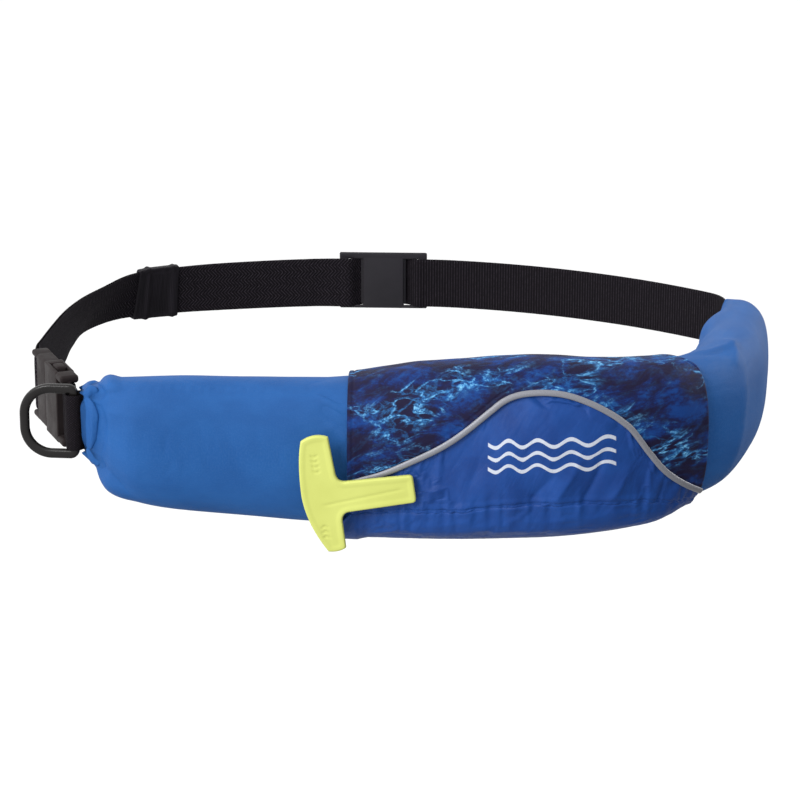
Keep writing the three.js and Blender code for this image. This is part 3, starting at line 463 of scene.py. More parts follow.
def blown(rest, faces, held, spare, pressure):
    """Cloth simulation of a grid of points in millimetres: held from 0 to 1, spare is how much too large the
    cloth is cut, and pressure pushes it out. Returns how far each point moved; the helper is removed."""
    points = rest.reshape(-1, 3)
    mesh = bpy.data.meshes.new("swelling")
    mesh.from_pydata((points * MM).tolist(), [], faces.tolist())
    helper = bpy.data.objects.new("swelling", mesh)
    bpy.context.scene.collection.objects.link(helper)
    pins = helper.vertex_groups.new(name="held")
    for value in np.unique(np.round(held.ravel(), 2)):
        if value > 0:
            pins.add(np.flatnonzero(np.round(held.ravel(), 2) == value).tolist(), float(value), "REPLACE")
    cloth_mod = helper.modifiers.new("cloth", "CLOTH")
    settings = cloth_mod.settings
    settings.quality = 5
    settings.mass = 0.1
    settings.tension_stiffness = 30
    settings.compression_stiffness = 30
    settings.shear_stiffness = 10
    settings.bending_stiffness = 0.4
    settings.vertex_group_mass = "held"
    settings.shrink_min = -spare
    settings.use_pressure = True
    settings.uniform_pressure_force = pressure
    settings.effector_weights.gravity = 0
    cloth_mod.point_cache.frame_start, cloth_mod.point_cache.frame_end = 1, SIM_FRAMES
    for number in range(1, SIM_FRAMES + 1):
        bpy.context.scene.frame_set(number)
    made = helper.evaluated_get(bpy.context.evaluated_depsgraph_get()).to_mesh()
    flat = np.empty(len(made.vertices) * 3)
    made.vertices.foreach_get("co", flat)
    helper.to_mesh_clear()
    bpy.data.objects.remove(helper)
    bpy.data.meshes.remove(mesh)
    bpy.context.scene.frame_set(1)
    return flat.reshape(rest.shape) / MM - rest


# Cover, pocket, hem, piping

def cover_length(across):
    """Length along the pouch for a share of the cover."""
    return COVER_START + across * COVER_LONG


# The wave's table by level, a share of half the height of a section whose square is 2.8.
WAVE_POWER = 2 / 2.8
WAVE_LEVEL = np.sign(WAVE[:, 1]) * np.abs(np.sin(np.radians(WAVE[:, 1]))) ** WAVE_POWER


def wave_turn(across):
    """Turn of the wave. The table is read by level on the section, where the wave bends evenly, and averaged
    over a short stretch that shrinks to nothing at both ends."""
    reach = np.clip(np.minimum(across, 1 - across), 0, 0.025)
    level = sum(smooth(WAVE[:, 0], WAVE_LEVEL, across + reach * k) for k in np.linspace(-1, 1, 7)) / 7
    return np.degrees(np.sign(level) * np.arcsin(np.abs(level) ** (1 / WAVE_POWER)))


def hem_turn(across):
    """Turn of the seam between pocket and hem."""
    return smooth(HEM_LINE[:, 0], HEM_LINE[:, 1], across)


def turn_for(length, turn, distance):
    """Degrees round the section for a distance along its face."""
    per_degree = np.linalg.norm(on_pouch(length, turn + 0.5) - on_pouch(length, turn - 0.5), axis=-1)
    return distance / np.maximum(per_degree, 0.1)


def run_down(face):
    """Distance along each row of a grid from its first point."""
    steps = np.linalg.norm(np.diff(face, axis=1), axis=2)
    return np.concatenate([np.zeros((len(face), 1)), steps.cumsum(1)], 1)


def down_cloth(length, turn):
    """Distance down the sleeve's face from the turn 0, for a grid whose rows each have one length."""
    turns = np.linspace(-100, 130, 231)
    run = run_down(on_pouch(length[:, :1], turns[None]))
    return np.array([np.interp(0, turns, r) - np.interp(t, turns, r) for r, t in zip(run, turn)])


def cover_lift(across, turn):
    """How far the cover's inner face stands off: most over its middle, and at its free left edge."""
    edge = step(across, 0, 0.12) * step(1 - across, 0, 0.08)
    crown = np.cos(np.radians(np.clip(turn - 10, -90, 90)))
    free = (1 - step(across, 0, 0.07)) * step(turn, 60, 0)
    return COVER_GAP + COVER_LIFT * edge * crown + EDGE_LIFT * free


def panel_lift(across, turn):
    """The same for the pocket: on the cover's, its puff below the wave and slow puckers in it."""
    below = wave_turn(across) - turn
    ends = step(across, 0, 0.03) * step(1 - across, 0, 0.14)
    puff = PANEL_PUFF * step(below, 0, 45)
    pucker = PUCKER_DEEP * np.sin(2 * math.pi * PUCKERS * across + turn / 18) * step(turn, -45, -20)
    return cover_lift(across, turn) + ends * (puff + pucker * step(below, 15, 55))


def on_cover(across, turn):
    """Outer face of the sleeve by a share of the cover."""
    return on_pouch(cover_length(across), turn)


def cloth(name, edges, lift, thick, relief, cols, rows, rim, ends=(0.0, 1.0), spare=0.0):
    """Cloth sewn over the pouch: rows along it, from the upper to the lower edge, its rims rounded off.
    edges gives both turns at a share; lift is the inner face's height; relief is added to both faces."""
    long = (ends[1] - ends[0]) * COVER_LONG
    across = ends[0] + (ends[1] - ends[0]) * edged(rows, rim / long)
    high, low = edges(across)
    share = edged(cols, 0.03)
    a, k = np.meshgrid(across, share, indexing="ij")
    turn = high[:, None] + (low - high)[:, None] * k
    length = cover_length(a)
    run = run_down(on_pouch(length, turn))
    to_side = np.minimum(run, run[:, -1:] - run)
    to_end = np.minimum(a - ends[0], ends[1] - a) * COVER_LONG
    wall = thick(k) * rimmed(to_side, rim) * rimmed(to_end, rim)
    height = lift(a, turn)
    bumps = relief(a, turn, run, to_side)
    outer = off_pouch(length, turn, height + wall + bumps)
    inner = off_pouch(length, turn, height + np.minimum(bumps, 0))
    if spare:
        moves = cloth_moves(edges, lift, ends, spare)
        row = (across - ends[0]) / (ends[1] - ends[0]) * (len(moves) - 1)
        moves = spread_moves(moves, row, share * (moves.shape[1] - 1))
        normal = pouch_normal(length, turn)
        wanted = (moves * normal).sum(-1, keepdims=True)
        outward = np.maximum(wanted, LEAST_OUT)
        outer += moves - normal * (wanted - outward)
        inner += normal * np.minimum(outward, 0)
    made = skin(name, outer, inner, np.stack([length, down_cloth(length, turn)], -1))
    return made


def cloth_moves(edges, lift, ends, spare, rows=110, cols=40):
    """How a cloth that is cut too large puffs and creases between its four sewn edges."""
    across = np.linspace(*ends, rows)
    high, low = edges(across)
    a, k = np.meshgrid(across, np.linspace(0, 1, cols), indexing="ij")
    turn = high[:, None] + (low - high)[:, None] * k
    rest = off_pouch(cover_length(a), turn, lift(a, turn))
    i, j = np.meshgrid(np.arange(rows), np.arange(cols), indexing="ij")
    to_edge = np.minimum.reduce([i, rows - 1 - i, j, cols - 1 - j])
    held = np.where(to_edge == 0, 1.0, 0.0)
    return capped(blown(rest, faces_of(rows, cols), held, spare, SEWN_PRESSURE), SEWN_SWELL)


def make_cover():
    """The printed cover: its lower edge is the wave, its right corner is round, and its rims are stitched."""
    def edges(across):
        """Turns of the upper and the lower edge."""
        length, turn = cover_length(across), wave_turn(across)
        round_in = np.maximum(COVER_CORNER - (1 - across) * COVER_LONG, 0)
        cut = COVER_CORNER - np.sqrt(np.maximum(COVER_CORNER**2 - round_in**2, 0))
        top = COVER_TOP_TURN + (COVER_CORNER_TURN - COVER_TOP_TURN) * np.sqrt(round_in / COVER_CORNER)
        return top - turn_for(length, top, cut), turn + turn_for(length, turn, SEAM_GAP / 2)

    def relief(across, turn, run, to_side):
        """Height of creases and seams, from the place and the distances run down and to the nearer side."""
        slack = 0.25 * wander(across * COVER_LONG + 0.5 * turn, 7, 24) * step(across, 0, 0.06)
        seam = -0.5 * hill(to_side, 5, 1.2) - 0.5 * hill(across * COVER_LONG, 4, 1.2)
        return slack + seam + folds(on_cover(across, turn), COVER_FOLDS, on_cover)

    return cloth("cover_cloth", edges, cover_lift, lambda k: COVER_WALL + 0 * k, relief, 80, 260, 1.4)


# Creases of the cover: from across, turn to across, turn; width; height.
COVER_FOLDS = [
    (0.01, 18, 0.09, 12, 2.2, -0.8),
    (0.01, 10, 0.07, 6, 2, 0.7),
    (0.92, 5, 1.0, -20, 3, 0.6),
]

# Creases of the pocket: from across, turn to across, turn; width; height.
PANEL_FOLDS = [
    (0.53, 37, 0.63, 20, 4, 2.0),
    (0.555, 39, 0.60, 26, 2.2, -2.2),
    (0.66, 30, 0.75, 10, 4, 1.4),
    (0.62, -3, 0.53, -27, 4, -2.2),
    (0.68, 2, 0.60, -27, 4.5, 2.4),
    (0.73, 2, 0.68, -28, 2.8, -2.6),
    (0.79, -4, 0.735, -30, 3.5, 2.2),
    (0.3, -2, 0.24, -30, 5, 1.4),
    (0.40, 4, 0.36, -20, 5, -1.1),
    (0.885, -14, 0.87, -40, 2.0, -2.8),
    (0.92, -26, 0.915, -44, 3.5, 1.2),
]


def gather(across, below, size, reach=7.0):
    """Small uneven gathers that fan out from a sewn line: a wave along it that dies away from it."""
    place = across * COVER_LONG
    wave = np.sin(place / size + 1.6 * wander(place, 2, 9)) * (0.65 + 0.35 * wander(place, 6, 17))
    return wave * np.exp(-below / reach)


def make_panel():
    """The satin pocket from the wave to the hem's seam, with its creases and the gathers at that seam."""
    def edges(across):
        """Turns of the upper and the lower edge."""
        length, turn, seam = cover_length(across), wave_turn(across), hem_turn(across)
        return turn - turn_for(length, turn, SEAM_GAP / 2), seam - turn_for(length, seam, SEAM_GAP)

    def relief(across, turn, run, to_side):
        """Height of creases and seams, from the place and the distances run down and to the nearer side."""
        below = run[:, -1:] - run
        ends = step(across, 0, 0.04) * step(1 - across, 0, 0.1)
        hem = ends * (0.7 * gather(across, below, 1.5) + 0.5 * hill(below, 4.2, 3.2))
        stitches = -0.3 * hill(below, 2.6, 0.9)
        return hem + stitches + ends * folds(on_cover(across, turn), PANEL_FOLDS, on_cover)

    even = lambda k: PANEL_WALL + 0 * k
    return cloth("pocket_cloth", edges, panel_lift, even, relief, 110, 300, 1.2, spare=0.02)


# Where the hem's left end lies, as a share of the cover, how long its rounding in is, and by how many
# degrees its top and its low edge close in there.
HEM_OVER, HEM_ROUND, HEM_TOP_IN, HEM_LOW_IN = -0.034, 6, 14, 7


def make_hem():
    """The hem: its left end comes round past the cover's edge, and its top is gathered into the seam."""
    def edges(across):
        """Turns of the upper and the lower edge."""
        inside = np.clip(across, 0, 1)
        length, seam = cover_length(inside), hem_turn(inside)
        round_end = step(across, 0.045, HEM_OVER) ** 2
        top = seam + turn_for(length, seam, SEAM_GAP / 2)
        return top - HEM_TOP_IN * round_end, HEM_LOW_TURN + HEM_LOW_IN * round_end

    def relief(across, turn, run, to_side):
        """Height of creases and seams, from the place and the distances run down and to the nearer side."""
        ends = step(across, 0, 0.05) * step(1 - across, 0, 0.1)
        return ends * 0.8 * gather(across, run, 1.5)

    def lift(across, turn):
        """The pocket's lift, rounded in at the left end by a quarter circle."""
        full = panel_lift(np.maximum(across, 0.03), turn)
        t = np.clip((across - HEM_OVER) * COVER_LONG / HEM_ROUND, 0, 1)
        return COVER_GAP + (full - COVER_GAP) * np.sqrt(1 - (1 - t) ** 2)

    roll = lambda k: HEM_THICK * (0.52 + 0.48 * np.sin(math.pi * k))
    return cloth("hem_cloth", edges, lift, roll, relief, 60, 280, 1.8, ends=(HEM_OVER, 1.0), spare=0.004)


def make_piping():
    """A round cord on the wave: its middle stands on both cloths."""
    rows, sides = 260, 14
    across = np.linspace(0.01, 0.99, rows)
    turn = wave_turn(across)
    lift = panel_lift(across, turn) + COVER_WALL + GAP + PIPING_THICK * 0.7
    line = off_pouch(cover_length(across), turn, lift)
    out = pouch_normal(cover_length(across), turn)
    ahead = unit(np.gradient(line, axis=0))
    side = unit(np.cross(ahead, out))
    angle = np.linspace(0, 2 * math.pi, sides, endpoint=False)
    wide = PIPING_WIDE / 2 * step(across, 0.004, 0.02)
    ring = (np.cos(angle)[None, :, None] * side[:, None] * wide[:, None, None]
            + np.sin(angle)[None, :, None] * out[:, None] * PIPING_THICK / 2)
    uv = np.stack(np.broadcast_arrays((across * COVER_LONG)[:, None], (angle * 2)[None]), -1)
    faces = faces_of(rows, sides, wrap_cols=True)
    return make_piece("silver_piping", line[:, None] + ring, faces, uv, end_caps(rows, sides))


# Webbing

def ribbon(name, points, lean=None):
    """A strip of webbing stood on edge along plan points: a flat section with round selvedges."""
    ahead = unit(np.gradient(points, axis=0))
    side = unit(np.stack([ahead[:, 1], -ahead[:, 0], 0 * ahead[:, 0]], -1))
    lean = np.zeros_like(points) if lean is None else lean
    v = np.array([1, 0.97, 0.9, 0.6, 0.3, 0, -0.3, -0.6, -0.9, -0.97, -1])
    swell = np.sqrt(np.clip(1 - np.abs(v) ** 14, 0.03, 1))
    face = np.concatenate([np.stack([v, swell], -1), np.stack([v[::-1], -swell[::-1]], -1)])
    ring = (face[None, :, :1] * (UP * WEB_WIDE / 2 - lean[:, None] / 2)
            + face[None, :, 1:] * side[:, None] * WEB_THICK / 2)
    uv = np.stack(np.broadcast_arrays(distances(points)[:, None], face[None, :, 0] * WEB_WIDE / 2), -1)
    rows, count = len(points), len(face)
    faces = faces_of(rows, count, wrap_cols=True)
    return make_piece(name, points[:, None] + ring, faces, uv, end_caps(rows, count))


def fine(path, lean=None, spacing=2.0):
    """The same path with even close points on a smooth line through the given ones."""
    path = np.asarray(path, float)
    line = Line(path[:, :2])
    s = np.linspace(0, line.long, max(int(line.long / spacing), 8))
    points = line.at(s)[0]
    if lean is None:
        return points, None
    return points, np.stack([np.interp(s, line.knots, np.asarray(lean)[:, k]) for k in range(3)], -1)


neck_point, neck_ahead, neck_out = (v[0] for v in pouch_line.at(np.array([0.0])))
buckle_angle = math.radians(BUCKLE_TURN)
buckle_ahead = np.array([math.cos(buckle_angle), math.sin(buckle_angle), 0])
buckle_out = np.array([-buckle_ahead[1], buckle_ahead[0], 0])
buckle_start = neck_point - neck_ahead * TAB_REACH - neck_out * TAB_OUT
BUCKLE_LONG = SOCKET_LONG + PLUG_LONG
LAYER_OFF = (WEB_THICK + GAP) / 2
BAR_TURN = BUCKLE_BAR / 2 + GAP + WEB_THICK / 2 + 0.6


def at_buckle(along):
    """A point of the buckle's own line, at a distance from the socket's outer end."""
    return buckle_start + buckle_ahead * along


belt_end = at_buckle(BUCKLE_LONG - BUCKLE_BAR / 2)
belt_line = Line(np.vstack([
    pouch_line.at(np.array([POUCH_LONG]))[0][:, :2],
    BELT_ROUTE[:, :2] * half_loop,
    at_buckle(BUCKLE_LONG + 14)[None, :2],
]))
belt_places = belt_line.knots
belt_leans = np.concatenate([[0], BELT_ROUTE[:, 2], [0]])


def on_belt(length, off=0.0):
    """A point of the belt's line at a length, set out by off, and how its lower edge leans out."""
    point, _, out = belt_line.at(length)
    lean = smooth(belt_places, belt_leans, np.asarray(length, float)) * WEB_WIDE
    return point + out * off, out * lean[..., None]


slider_point, slider_ahead, slider_out = (v[0] for v in belt_line.at(np.array([float(SLIDER_PLACE)])))


def at_slider(along, off):
    """A point of the slider's own frame, along the belt and out from it."""
    return slider_point + slider_ahead * along + slider_out * off


def around_bar(centre, start, stop, count=10, radius=BAR_TURN):
    """Points of a turn of webbing round a bar, from one angle in plan to another."""
    angle = np.radians(np.linspace(start, stop, count))
    return centre + radius * np.stack([np.cos(angle), np.sin(angle), 0 * angle], -1)


def make_belt():
    """Single webbing from the tip to the slider, through it, and doubled to the buckle's bar and back."""
    half, outer = SLIDER_LONG / 2, SLIDER_PLATE / 2 + SLIDER_SLOT
    lie, second = SLIDER_THICK / 2 + GAP + WEB_THICK / 2, WEB_THICK + GAP
    path, lean = [], []

    def add(points, leans=None):
        """Adds points to the belt's path with their leans, which are nothing when not given."""
        points = np.atleast_2d(points)
        path.extend(points)
        lean.extend(np.zeros_like(points) if leans is None else leans)

    add(pouch_line.at(POUCH_LONG + np.array([-BELT_TUCK, -8.0, -2]))[0])
    add(*on_belt(np.linspace(4, SLIDER_PLACE - half - 16, 24)))
    over = lie + second
    add([at_slider(along, off) for along, off in (
        (-half, -lie), (-outer + 1, -lie), (-SLIDER_PLATE / 2 - 2, over), (0, over),
        (SLIDER_PLATE / 2 + 1, over), (outer - 2, -lie), (half, -lie))])
    last = belt_line.long - 12
    doubled = np.linspace(SLIDER_PLACE + half + 16, last, 34)
    add(*on_belt(doubled, LAYER_OFF))
    add(around_bar(belt_end, BUCKLE_TURN + 60, BUCKLE_TURN + 300))
    add(*on_belt(doubled[::-1], -LAYER_OFF))
    add([at_slider(along, off) for along, off in (
        (half, -over), (outer - 1, -over), (SLIDER_PLATE / 2 + 2, lie), (2, lie))])
    return ribbon("belt", *fine(path, lean, 1.6))


def make_tab_strap():
    """Webbing from inside the neck round the socket's bar and back."""
    into = neck_point - neck_out * TAB_OFF
    at = lambda length, off: into + neck_ahead * length + neck_out * off
    path = [at(TAB_TUCK, -LAYER_OFF), at(0, -LAYER_OFF), at(-TAB_REACH * 0.55, -LAYER_OFF)]
    path += list(around_bar(at_buckle(BUCKLE_BAR / 2), BUCKLE_TURN - 120, BUCKLE_TURN + 120))
    path += [at(-TAB_REACH * 0.75, LAYER_OFF), at(0, LAYER_OFF), at(TAB_TUCK, LAYER_OFF)]
    return ribbon("tab_strap", *fine(path, None, 0.8))


RING_TALL = SLOT_TALL + 2 * RING_LIMB
RING_TURN = math.hypot(RING_BAR, RING_THICK) / 2 + GAP + WEB_THICK / 2
ring_axis = neck_point - neck_ahead * (RING_TURN + WEB_THICK) + neck_out * LOOP_OFF


def make_ring_strap():
    """Webbing from inside the neck round the ring's upright bar and back."""
    facing = math.degrees(math.atan2(neck_ahead[1], neck_ahead[0]))
    into = neck_point + neck_out * LOOP_OFF
    at = lambda length, off: into + neck_ahead * length + neck_out * off
    path = [at(TAB_TUCK, -LAYER_OFF), at(0, -LAYER_OFF)]
    path += list(around_bar(ring_axis, facing + 60, facing + 300, 12, RING_TURN))
    path += [at(0, LAYER_OFF), at(TAB_TUCK, LAYER_OFF)]
    return ribbon("ring_strap", *fine(path, None, 0.8))


def make_keeper():
    """An elastic band round both layers: a flattened tube with two raised seams across it."""
    length = KEEPER_PLACE + KEEPER_LONG * (edged(30, 0.06) - 0.5)
    point, lean = on_belt(length)
    out = belt_line.at(length)[2]
    sides = 96
    angle = np.linspace(0, 2 * math.pi, sides, endpoint=False)
    end = np.minimum(length - length[0], length[-1] - length)
    raised = lambda off, high, wide: high * np.exp(-((length - KEEPER_PLACE - off) / wide) ** 2)
    seam = raised(8, 1.0, 2.0) + raised(-13, 0.7, 1.6)

    def ring(wall):
        """Points of a squared oval that clears both layers by a wall, at each length."""
        deep = WEB_THICK + 1.5 * GAP + wall
        tall = WEB_WIDE / 2 + GAP + wall
        deep = np.broadcast_to(deep, length.shape)[:, None, None]
        tall = np.broadcast_to(tall, length.shape)[:, None, None]
        off = out[:, None] * (deep * squared(np.cos(angle), 0.22)[None, :, None])
        level = squared(np.sin(angle), 0.12)[None, :, None]
        return point[:, None] + off + level * (UP * tall - lean[:, None] / 2)

    outer = ring(KEEPER_WALL * rimmed(end, 1.4) + seam)
    inner = ring(np.zeros(len(length)))[::-3]
    points = np.concatenate([outer, inner])
    around = np.broadcast_to((angle * 13)[None], points.shape[:2])
    u = np.broadcast_to(np.concatenate([length, length[::-3]])[:, None], points.shape[:2])
    faces = faces_of(len(points), sides, True, True)
    return make_piece("keeper_band", points, faces, np.stack([u, around], -1))


# Moulded parts

def placed(local, origin, x_axis, y_axis, z_axis=(0, 0, 1)):
    """Points of a part's own frame set into the pack's frame."""
    return (np.asarray(origin) + local[..., :1] * np.asarray(x_axis) + local[..., 1:2] * np.asarray(y_axis)
            + local[..., 2:3] * np.asarray(z_axis))


def block(low, high, radius, place, steps=7):
    """A closed box with round edges: a box grid whose points are pulled onto balls set into its corners."""
    low, high = np.asarray(low, float), np.asarray(high, float)
    middle, half = (low + high) / 2, (high - low) / 2
    radius = min(radius, *(half * 0.98))
    bend = np.sin(np.linspace(-1, 1, steps) * math.pi / 4) / math.sin(math.pi / 4)
    line = np.concatenate([(bend - 1) / 2, (bend + 1) / 2])
    sides, faces, start = [], [], 0
    for axis in range(3):
        for way in (-1, 1):
            a, b = np.meshgrid(np.arange(2 * steps), np.arange(2 * steps), indexing="ij")
            grid = np.zeros(a.shape + (3,))
            core = half - radius
            u, w = (axis + 1) % 3, (axis + 2) % 3
            unit_u = np.where(line < 0, -1, 1)
            frac = np.concatenate([bend, bend])
            grid_core = np.zeros(grid.shape)
            grid_core[..., u], grid_core[..., w] = unit_u[a] * core[u], unit_u[b] * core[w]
            grid_core[..., axis] = way * core[axis]
            ball = np.zeros(grid.shape)
            ball[..., u] = np.where(a < steps, np.minimum(frac[a], 0), np.maximum(frac[a], 0))
            ball[..., w] = np.where(b < steps, np.minimum(frac[b], 0), np.maximum(frac[b], 0))
            ball[..., axis] = way
            grid = grid_core + unit(ball) * radius
            sides.append((grid + middle).reshape(-1, 3))
            quad = faces_of(2 * steps, 2 * steps) + start
            faces.append(quad if way > 0 else quad[:, ::-1])
            start += 4 * steps * steps
    return placed(np.vstack(sides), *place), np.vstack(faces)


def joined(name, parts):
    """One piece from several closed bodies."""
    points, faces, start = [], [], 0
    for p, f in parts:
        points.append(p)
        faces.append(np.asarray(f) + start)
        start += len(p)
    made = make_piece(name, np.vstack(points), np.vstack(faces))
    weld = made.modifiers.new("weld", "WELD")
    weld.merge_threshold = 0.00001
    return made


def loop_body(path, up_axis, section):
    """A closed ring: a section carried round a closed path in a plane, square to it."""
    ahead = unit(np.roll(path, -1, 0) - np.roll(path, 1, 0))
    side = np.cross(ahead, up_axis)
    points = path[:, None] + section[None, :, :1] * side[:, None] + section[None, :, 1:] * np.asarray(up_axis)
    return points, faces_of(len(path), len(section), True, True)


def rounded_section(wide, tall, power=3.2, count=28):
    """An oval that is squared off: both coordinates of a circle raised to a power."""
    angle = np.linspace(0, 2 * math.pi, count, endpoint=False)
    across, level = (squared(wave(angle), 2 / power) for wave in (np.cos, np.sin))
    return np.stack([across * wide / 2, level * tall / 2], -1)


def make_ring():
    """The D-ring: straight bar, two straight limbs and round far corners, with a rounded section."""
    left = RING_BAR / 2 - RING_WIDE + RING_LIMB / 2
    tall = RING_TALL / 2 - RING_LIMB / 2
    far, near = (RING_TALL / 2) * 0.82 - RING_LIMB / 2, 3.2

    def arc(x, y, radius, start, stop, count):
        """Points of an arc between two angles in degrees."""
        angle = np.radians(np.linspace(start, stop, count))
        return np.stack([x + radius * np.cos(angle), y + radius * np.sin(angle)], -1)

    xz = evenly(np.vstack([
        arc(-near, -tall + near, near, -90, 0, 10), arc(-near, tall - near, near, 0, 90, 10),
        arc(left + far, tall - far, far, 90, 180, 26), arc(left + far, -tall + far, far, 180, 270, 26)]), 220)
    path = np.stack([xz[:, 0], 0 * xz[:, 0], xz[:, 1]], -1)
    angle = math.radians(-RING_BACK)
    cos, sin = math.cos(angle), math.sin(angle)
    turn = np.array([[cos, sin, 0], [-sin, cos, 0], [0, 0, 1]])
    section = rounded_section(RING_LIMB, RING_THICK, 3.0)
    points, faces = loop_body(path, np.array([0, 1.0, 0]), section)
    return make_piece("ring_body", placed(points @ turn, ring_axis, neck_ahead, -neck_out), faces)


BUCKLE_MOUTH = BUCKLE_BAR + BUCKLE_SLOT + BUCKLE_WALL
# Thumb tabs: length and place as shares of the socket behind its mouth, half width, and reach out and in.
THUMB_LONG, THUMB_PLACE, THUMB_HALF, THUMB_OUT, THUMB_IN = 0.4, 0.42, 3.7, 0.9, 5
# The slider's lips: how far they reach in, and how much wider than stated they are on average and by side.
LIP_IN, LIP_MORE, LIP_UNEVEN = 0.9, -0.7, 1.3


def buckle_block(low, high, radius):
    """A round-edged box in the buckle's frame: along it, out and up."""
    return block(low, high, radius, (buckle_start, buckle_ahead, buckle_out))


def make_socket():
    """The buckle's socket: two face plates, top and bottom rails with a gap for the tabs, and the web bar."""
    mouth = BUCKLE_MOUTH
    half_t, half_w = BUCKLE_THICK / 2, BUCKLE_WIDE / 2
    parts = []
    for way in (-1, 1):
        y = sorted([way * half_t, way * (half_t - BUCKLE_WALL)])
        parts.append(buckle_block((mouth - BUCKLE_WALL, y[0], -half_w), (SOCKET_LONG, y[1], half_w), 1.1))
        z = sorted([way * half_w, way * SLOT_TALL / 2])
        parts.append(buckle_block((0, -half_t, z[0]), (mouth, half_t, z[1]), 2.2))
        parts.append(buckle_block((mouth + 20, -half_t + 0.4, z[0]), (SOCKET_LONG, half_t - 0.4, z[1]), 1))
    wide = half_w - 0.3
    parts.append(buckle_block((mouth - BUCKLE_WALL, -half_t, -wide), (mouth, half_t, wide), 1))
    bar = BUCKLE_BAR_THICK / 2
    parts.append(buckle_block((0, -bar, -half_w + 1), (BUCKLE_BAR, bar, half_w - 1), 1.6))
    return joined("socket_body", parts)


def make_plug():
    """The buckle's plug: its body, side rails, the web bar, and the thumb tabs that stand out."""
    start, end = SOCKET_LONG + GAP, BUCKLE_LONG
    half_t, half_w = (BUCKLE_THICK - 1) / 2, (BUCKLE_WIDE - 2) / 2
    slot_from = end - BUCKLE_BAR - BUCKLE_SLOT
    parts = [buckle_block((start, -half_t, -half_w), (slot_from, half_t, half_w), 2.4)]
    long = (SOCKET_LONG - BUCKLE_MOUTH) * THUMB_LONG
    at = BUCKLE_MOUTH + (SOCKET_LONG - BUCKLE_MOUTH) * THUMB_PLACE
    for way in (-1, 1):
        z = sorted([way * half_w, way * SLOT_TALL / 2])
        parts.append(buckle_block((slot_from - 4, -half_t, z[0]), (end, half_t, z[1]), 2.2))
        thumb = sorted([way * (BUCKLE_WIDE / 2 + THUMB_OUT), way * (BUCKLE_WIDE / 2 - THUMB_IN)])
        low, high = (at - long / 2, -THUMB_HALF, thumb[0]), (at + long / 2, THUMB_HALF, thumb[1])
        parts.append(buckle_block(low, high, 1.6))
    bar = BUCKLE_BAR_THICK / 2
    parts.append(buckle_block((end - BUCKLE_BAR, -bar, -half_w + 1), (end, bar, half_w - 1), 1.6))
    return joined("plug_body", parts)


def make_slider():
    """The slider: lips along top and bottom, end bars under the webbing and the wide plate over it."""
    tall = WEB_WIDE / 2 + GAP
    half, plate = SLIDER_LONG / 2, SLIDER_PLATE / 2
    thick = SLIDER_THICK / 2
    place = (slider_point, slider_ahead, slider_out)
    parts = []
    for way in (-1, 1):
        z = sorted([way * (tall - LIP_IN), way * (tall + SLIDER_LIP + LIP_MORE + LIP_UNEVEN * way)])
        parts.append(block((-half, -thick, z[0]), (half, thick, z[1]), 1.2, place))
        x = sorted([way * half, way * (plate + SLIDER_SLOT)])
        parts.append(block((x[0], -thick, -tall - 1), (x[1], thick, tall + 1), 1.2, place))
    parts.append(block((-plate, -thick, -tall - 1.5), (plate, thick, tall + 1.5), 1.3, place))
    raised = (-plate - 1.5, thick - 0.6, -tall + 1.5), (plate + 1.5, thick + 0.9, tall - 0.5)
    parts.append(block(*raised, 1.2, place))
    return joined("slider_body", parts)


def handle_outline(count=360):
    """Outline of the handle from curves between its corners, as even points."""
    half, side = HANDLE_BAR_LONG / 2, HANDLE_BAR_WIDE / 2
    end = side + HANDLE_STEM_LONG
    top, low = HANDLE_STEM_WIDE / 2 - HANDLE_STEM_LOW, -HANDLE_STEM_WIDE / 2 - HANDLE_STEM_LOW
    corner, fillet = 3, 6
    t = np.linspace(0, 1, 24)[:, None]
    curve = lambda a, b, c: (1 - t) ** 2 * np.array(a) + 2 * t * (1 - t) * np.array(b) + t**2 * np.array(c)
    return evenly(np.vstack([
        curve((-side * 0.1, -half), (-side * 1.15, -half * 0.5), (-side * 1.2, 0)),
        curve((-side * 1.2, 0), (-side * 1.15, half * 0.6), (-side * 0.75, half * 0.93)),
        curve((-side * 0.75, half * 0.93), (side * 0.1, half * 1.06), (side * 0.9, half * 0.95)),
        curve((side, top + fillet), (side * 1.05, top), (side + fillet, top)),
        curve((end - corner, top - 1), (end, top - 1), (end, top - 1 - corner)),
        curve((end, low + 1 + corner), (end, low + 1), (end - corner, low + 1)),
        curve((side + fillet, low), (side * 1.05, low), (side, low - fillet)),
        curve((side * 0.98, -half * 0.97), (side * 0.5, -half * 1.04), (-side * 0.1, -half)),
    ]), count)


def panel_reach():
    """How far the pocket stands out from the webbing line under the patch."""
    middle = cover_length(HANDLE_ACROSS)
    point, _, out = (v[0] for v in pouch_line.at(np.array([middle])))
    half = turn_for(np.array(middle), np.array(float(HANDLE_TURN)), PATCH_WIDE / 2)
    a, t = np.meshgrid(np.linspace(-1, 1, 9), np.linspace(-1, 1, 9), indexing="ij")
    across = HANDLE_ACROSS + a * PATCH_LONG / 2 / COVER_LONG
    turn = HANDLE_TURN + t * half
    face = off_pouch(cover_length(across), turn, panel_lift(across, turn) + PANEL_WALL)
    return float(((face - point) @ out).max())


def handle_place(off):
    """Origin, x, y and z axes of the handle's frame: its face is square to the way out."""
    middle = cover_length(HANDLE_ACROSS)
    point, ahead, out = (v[0] for v in pouch_line.at(np.array([middle])))
    level = float(on_pouch(np.array(middle), np.array(float(HANDLE_TURN)))[2])
    tilt = math.radians(HANDLE_TILT)
    x = ahead * math.cos(tilt) + UP * math.sin(tilt)
    y = UP * math.cos(tilt) - ahead * math.sin(tilt)
    return point + out * (panel_reach() + off) + UP * level, x, y, out


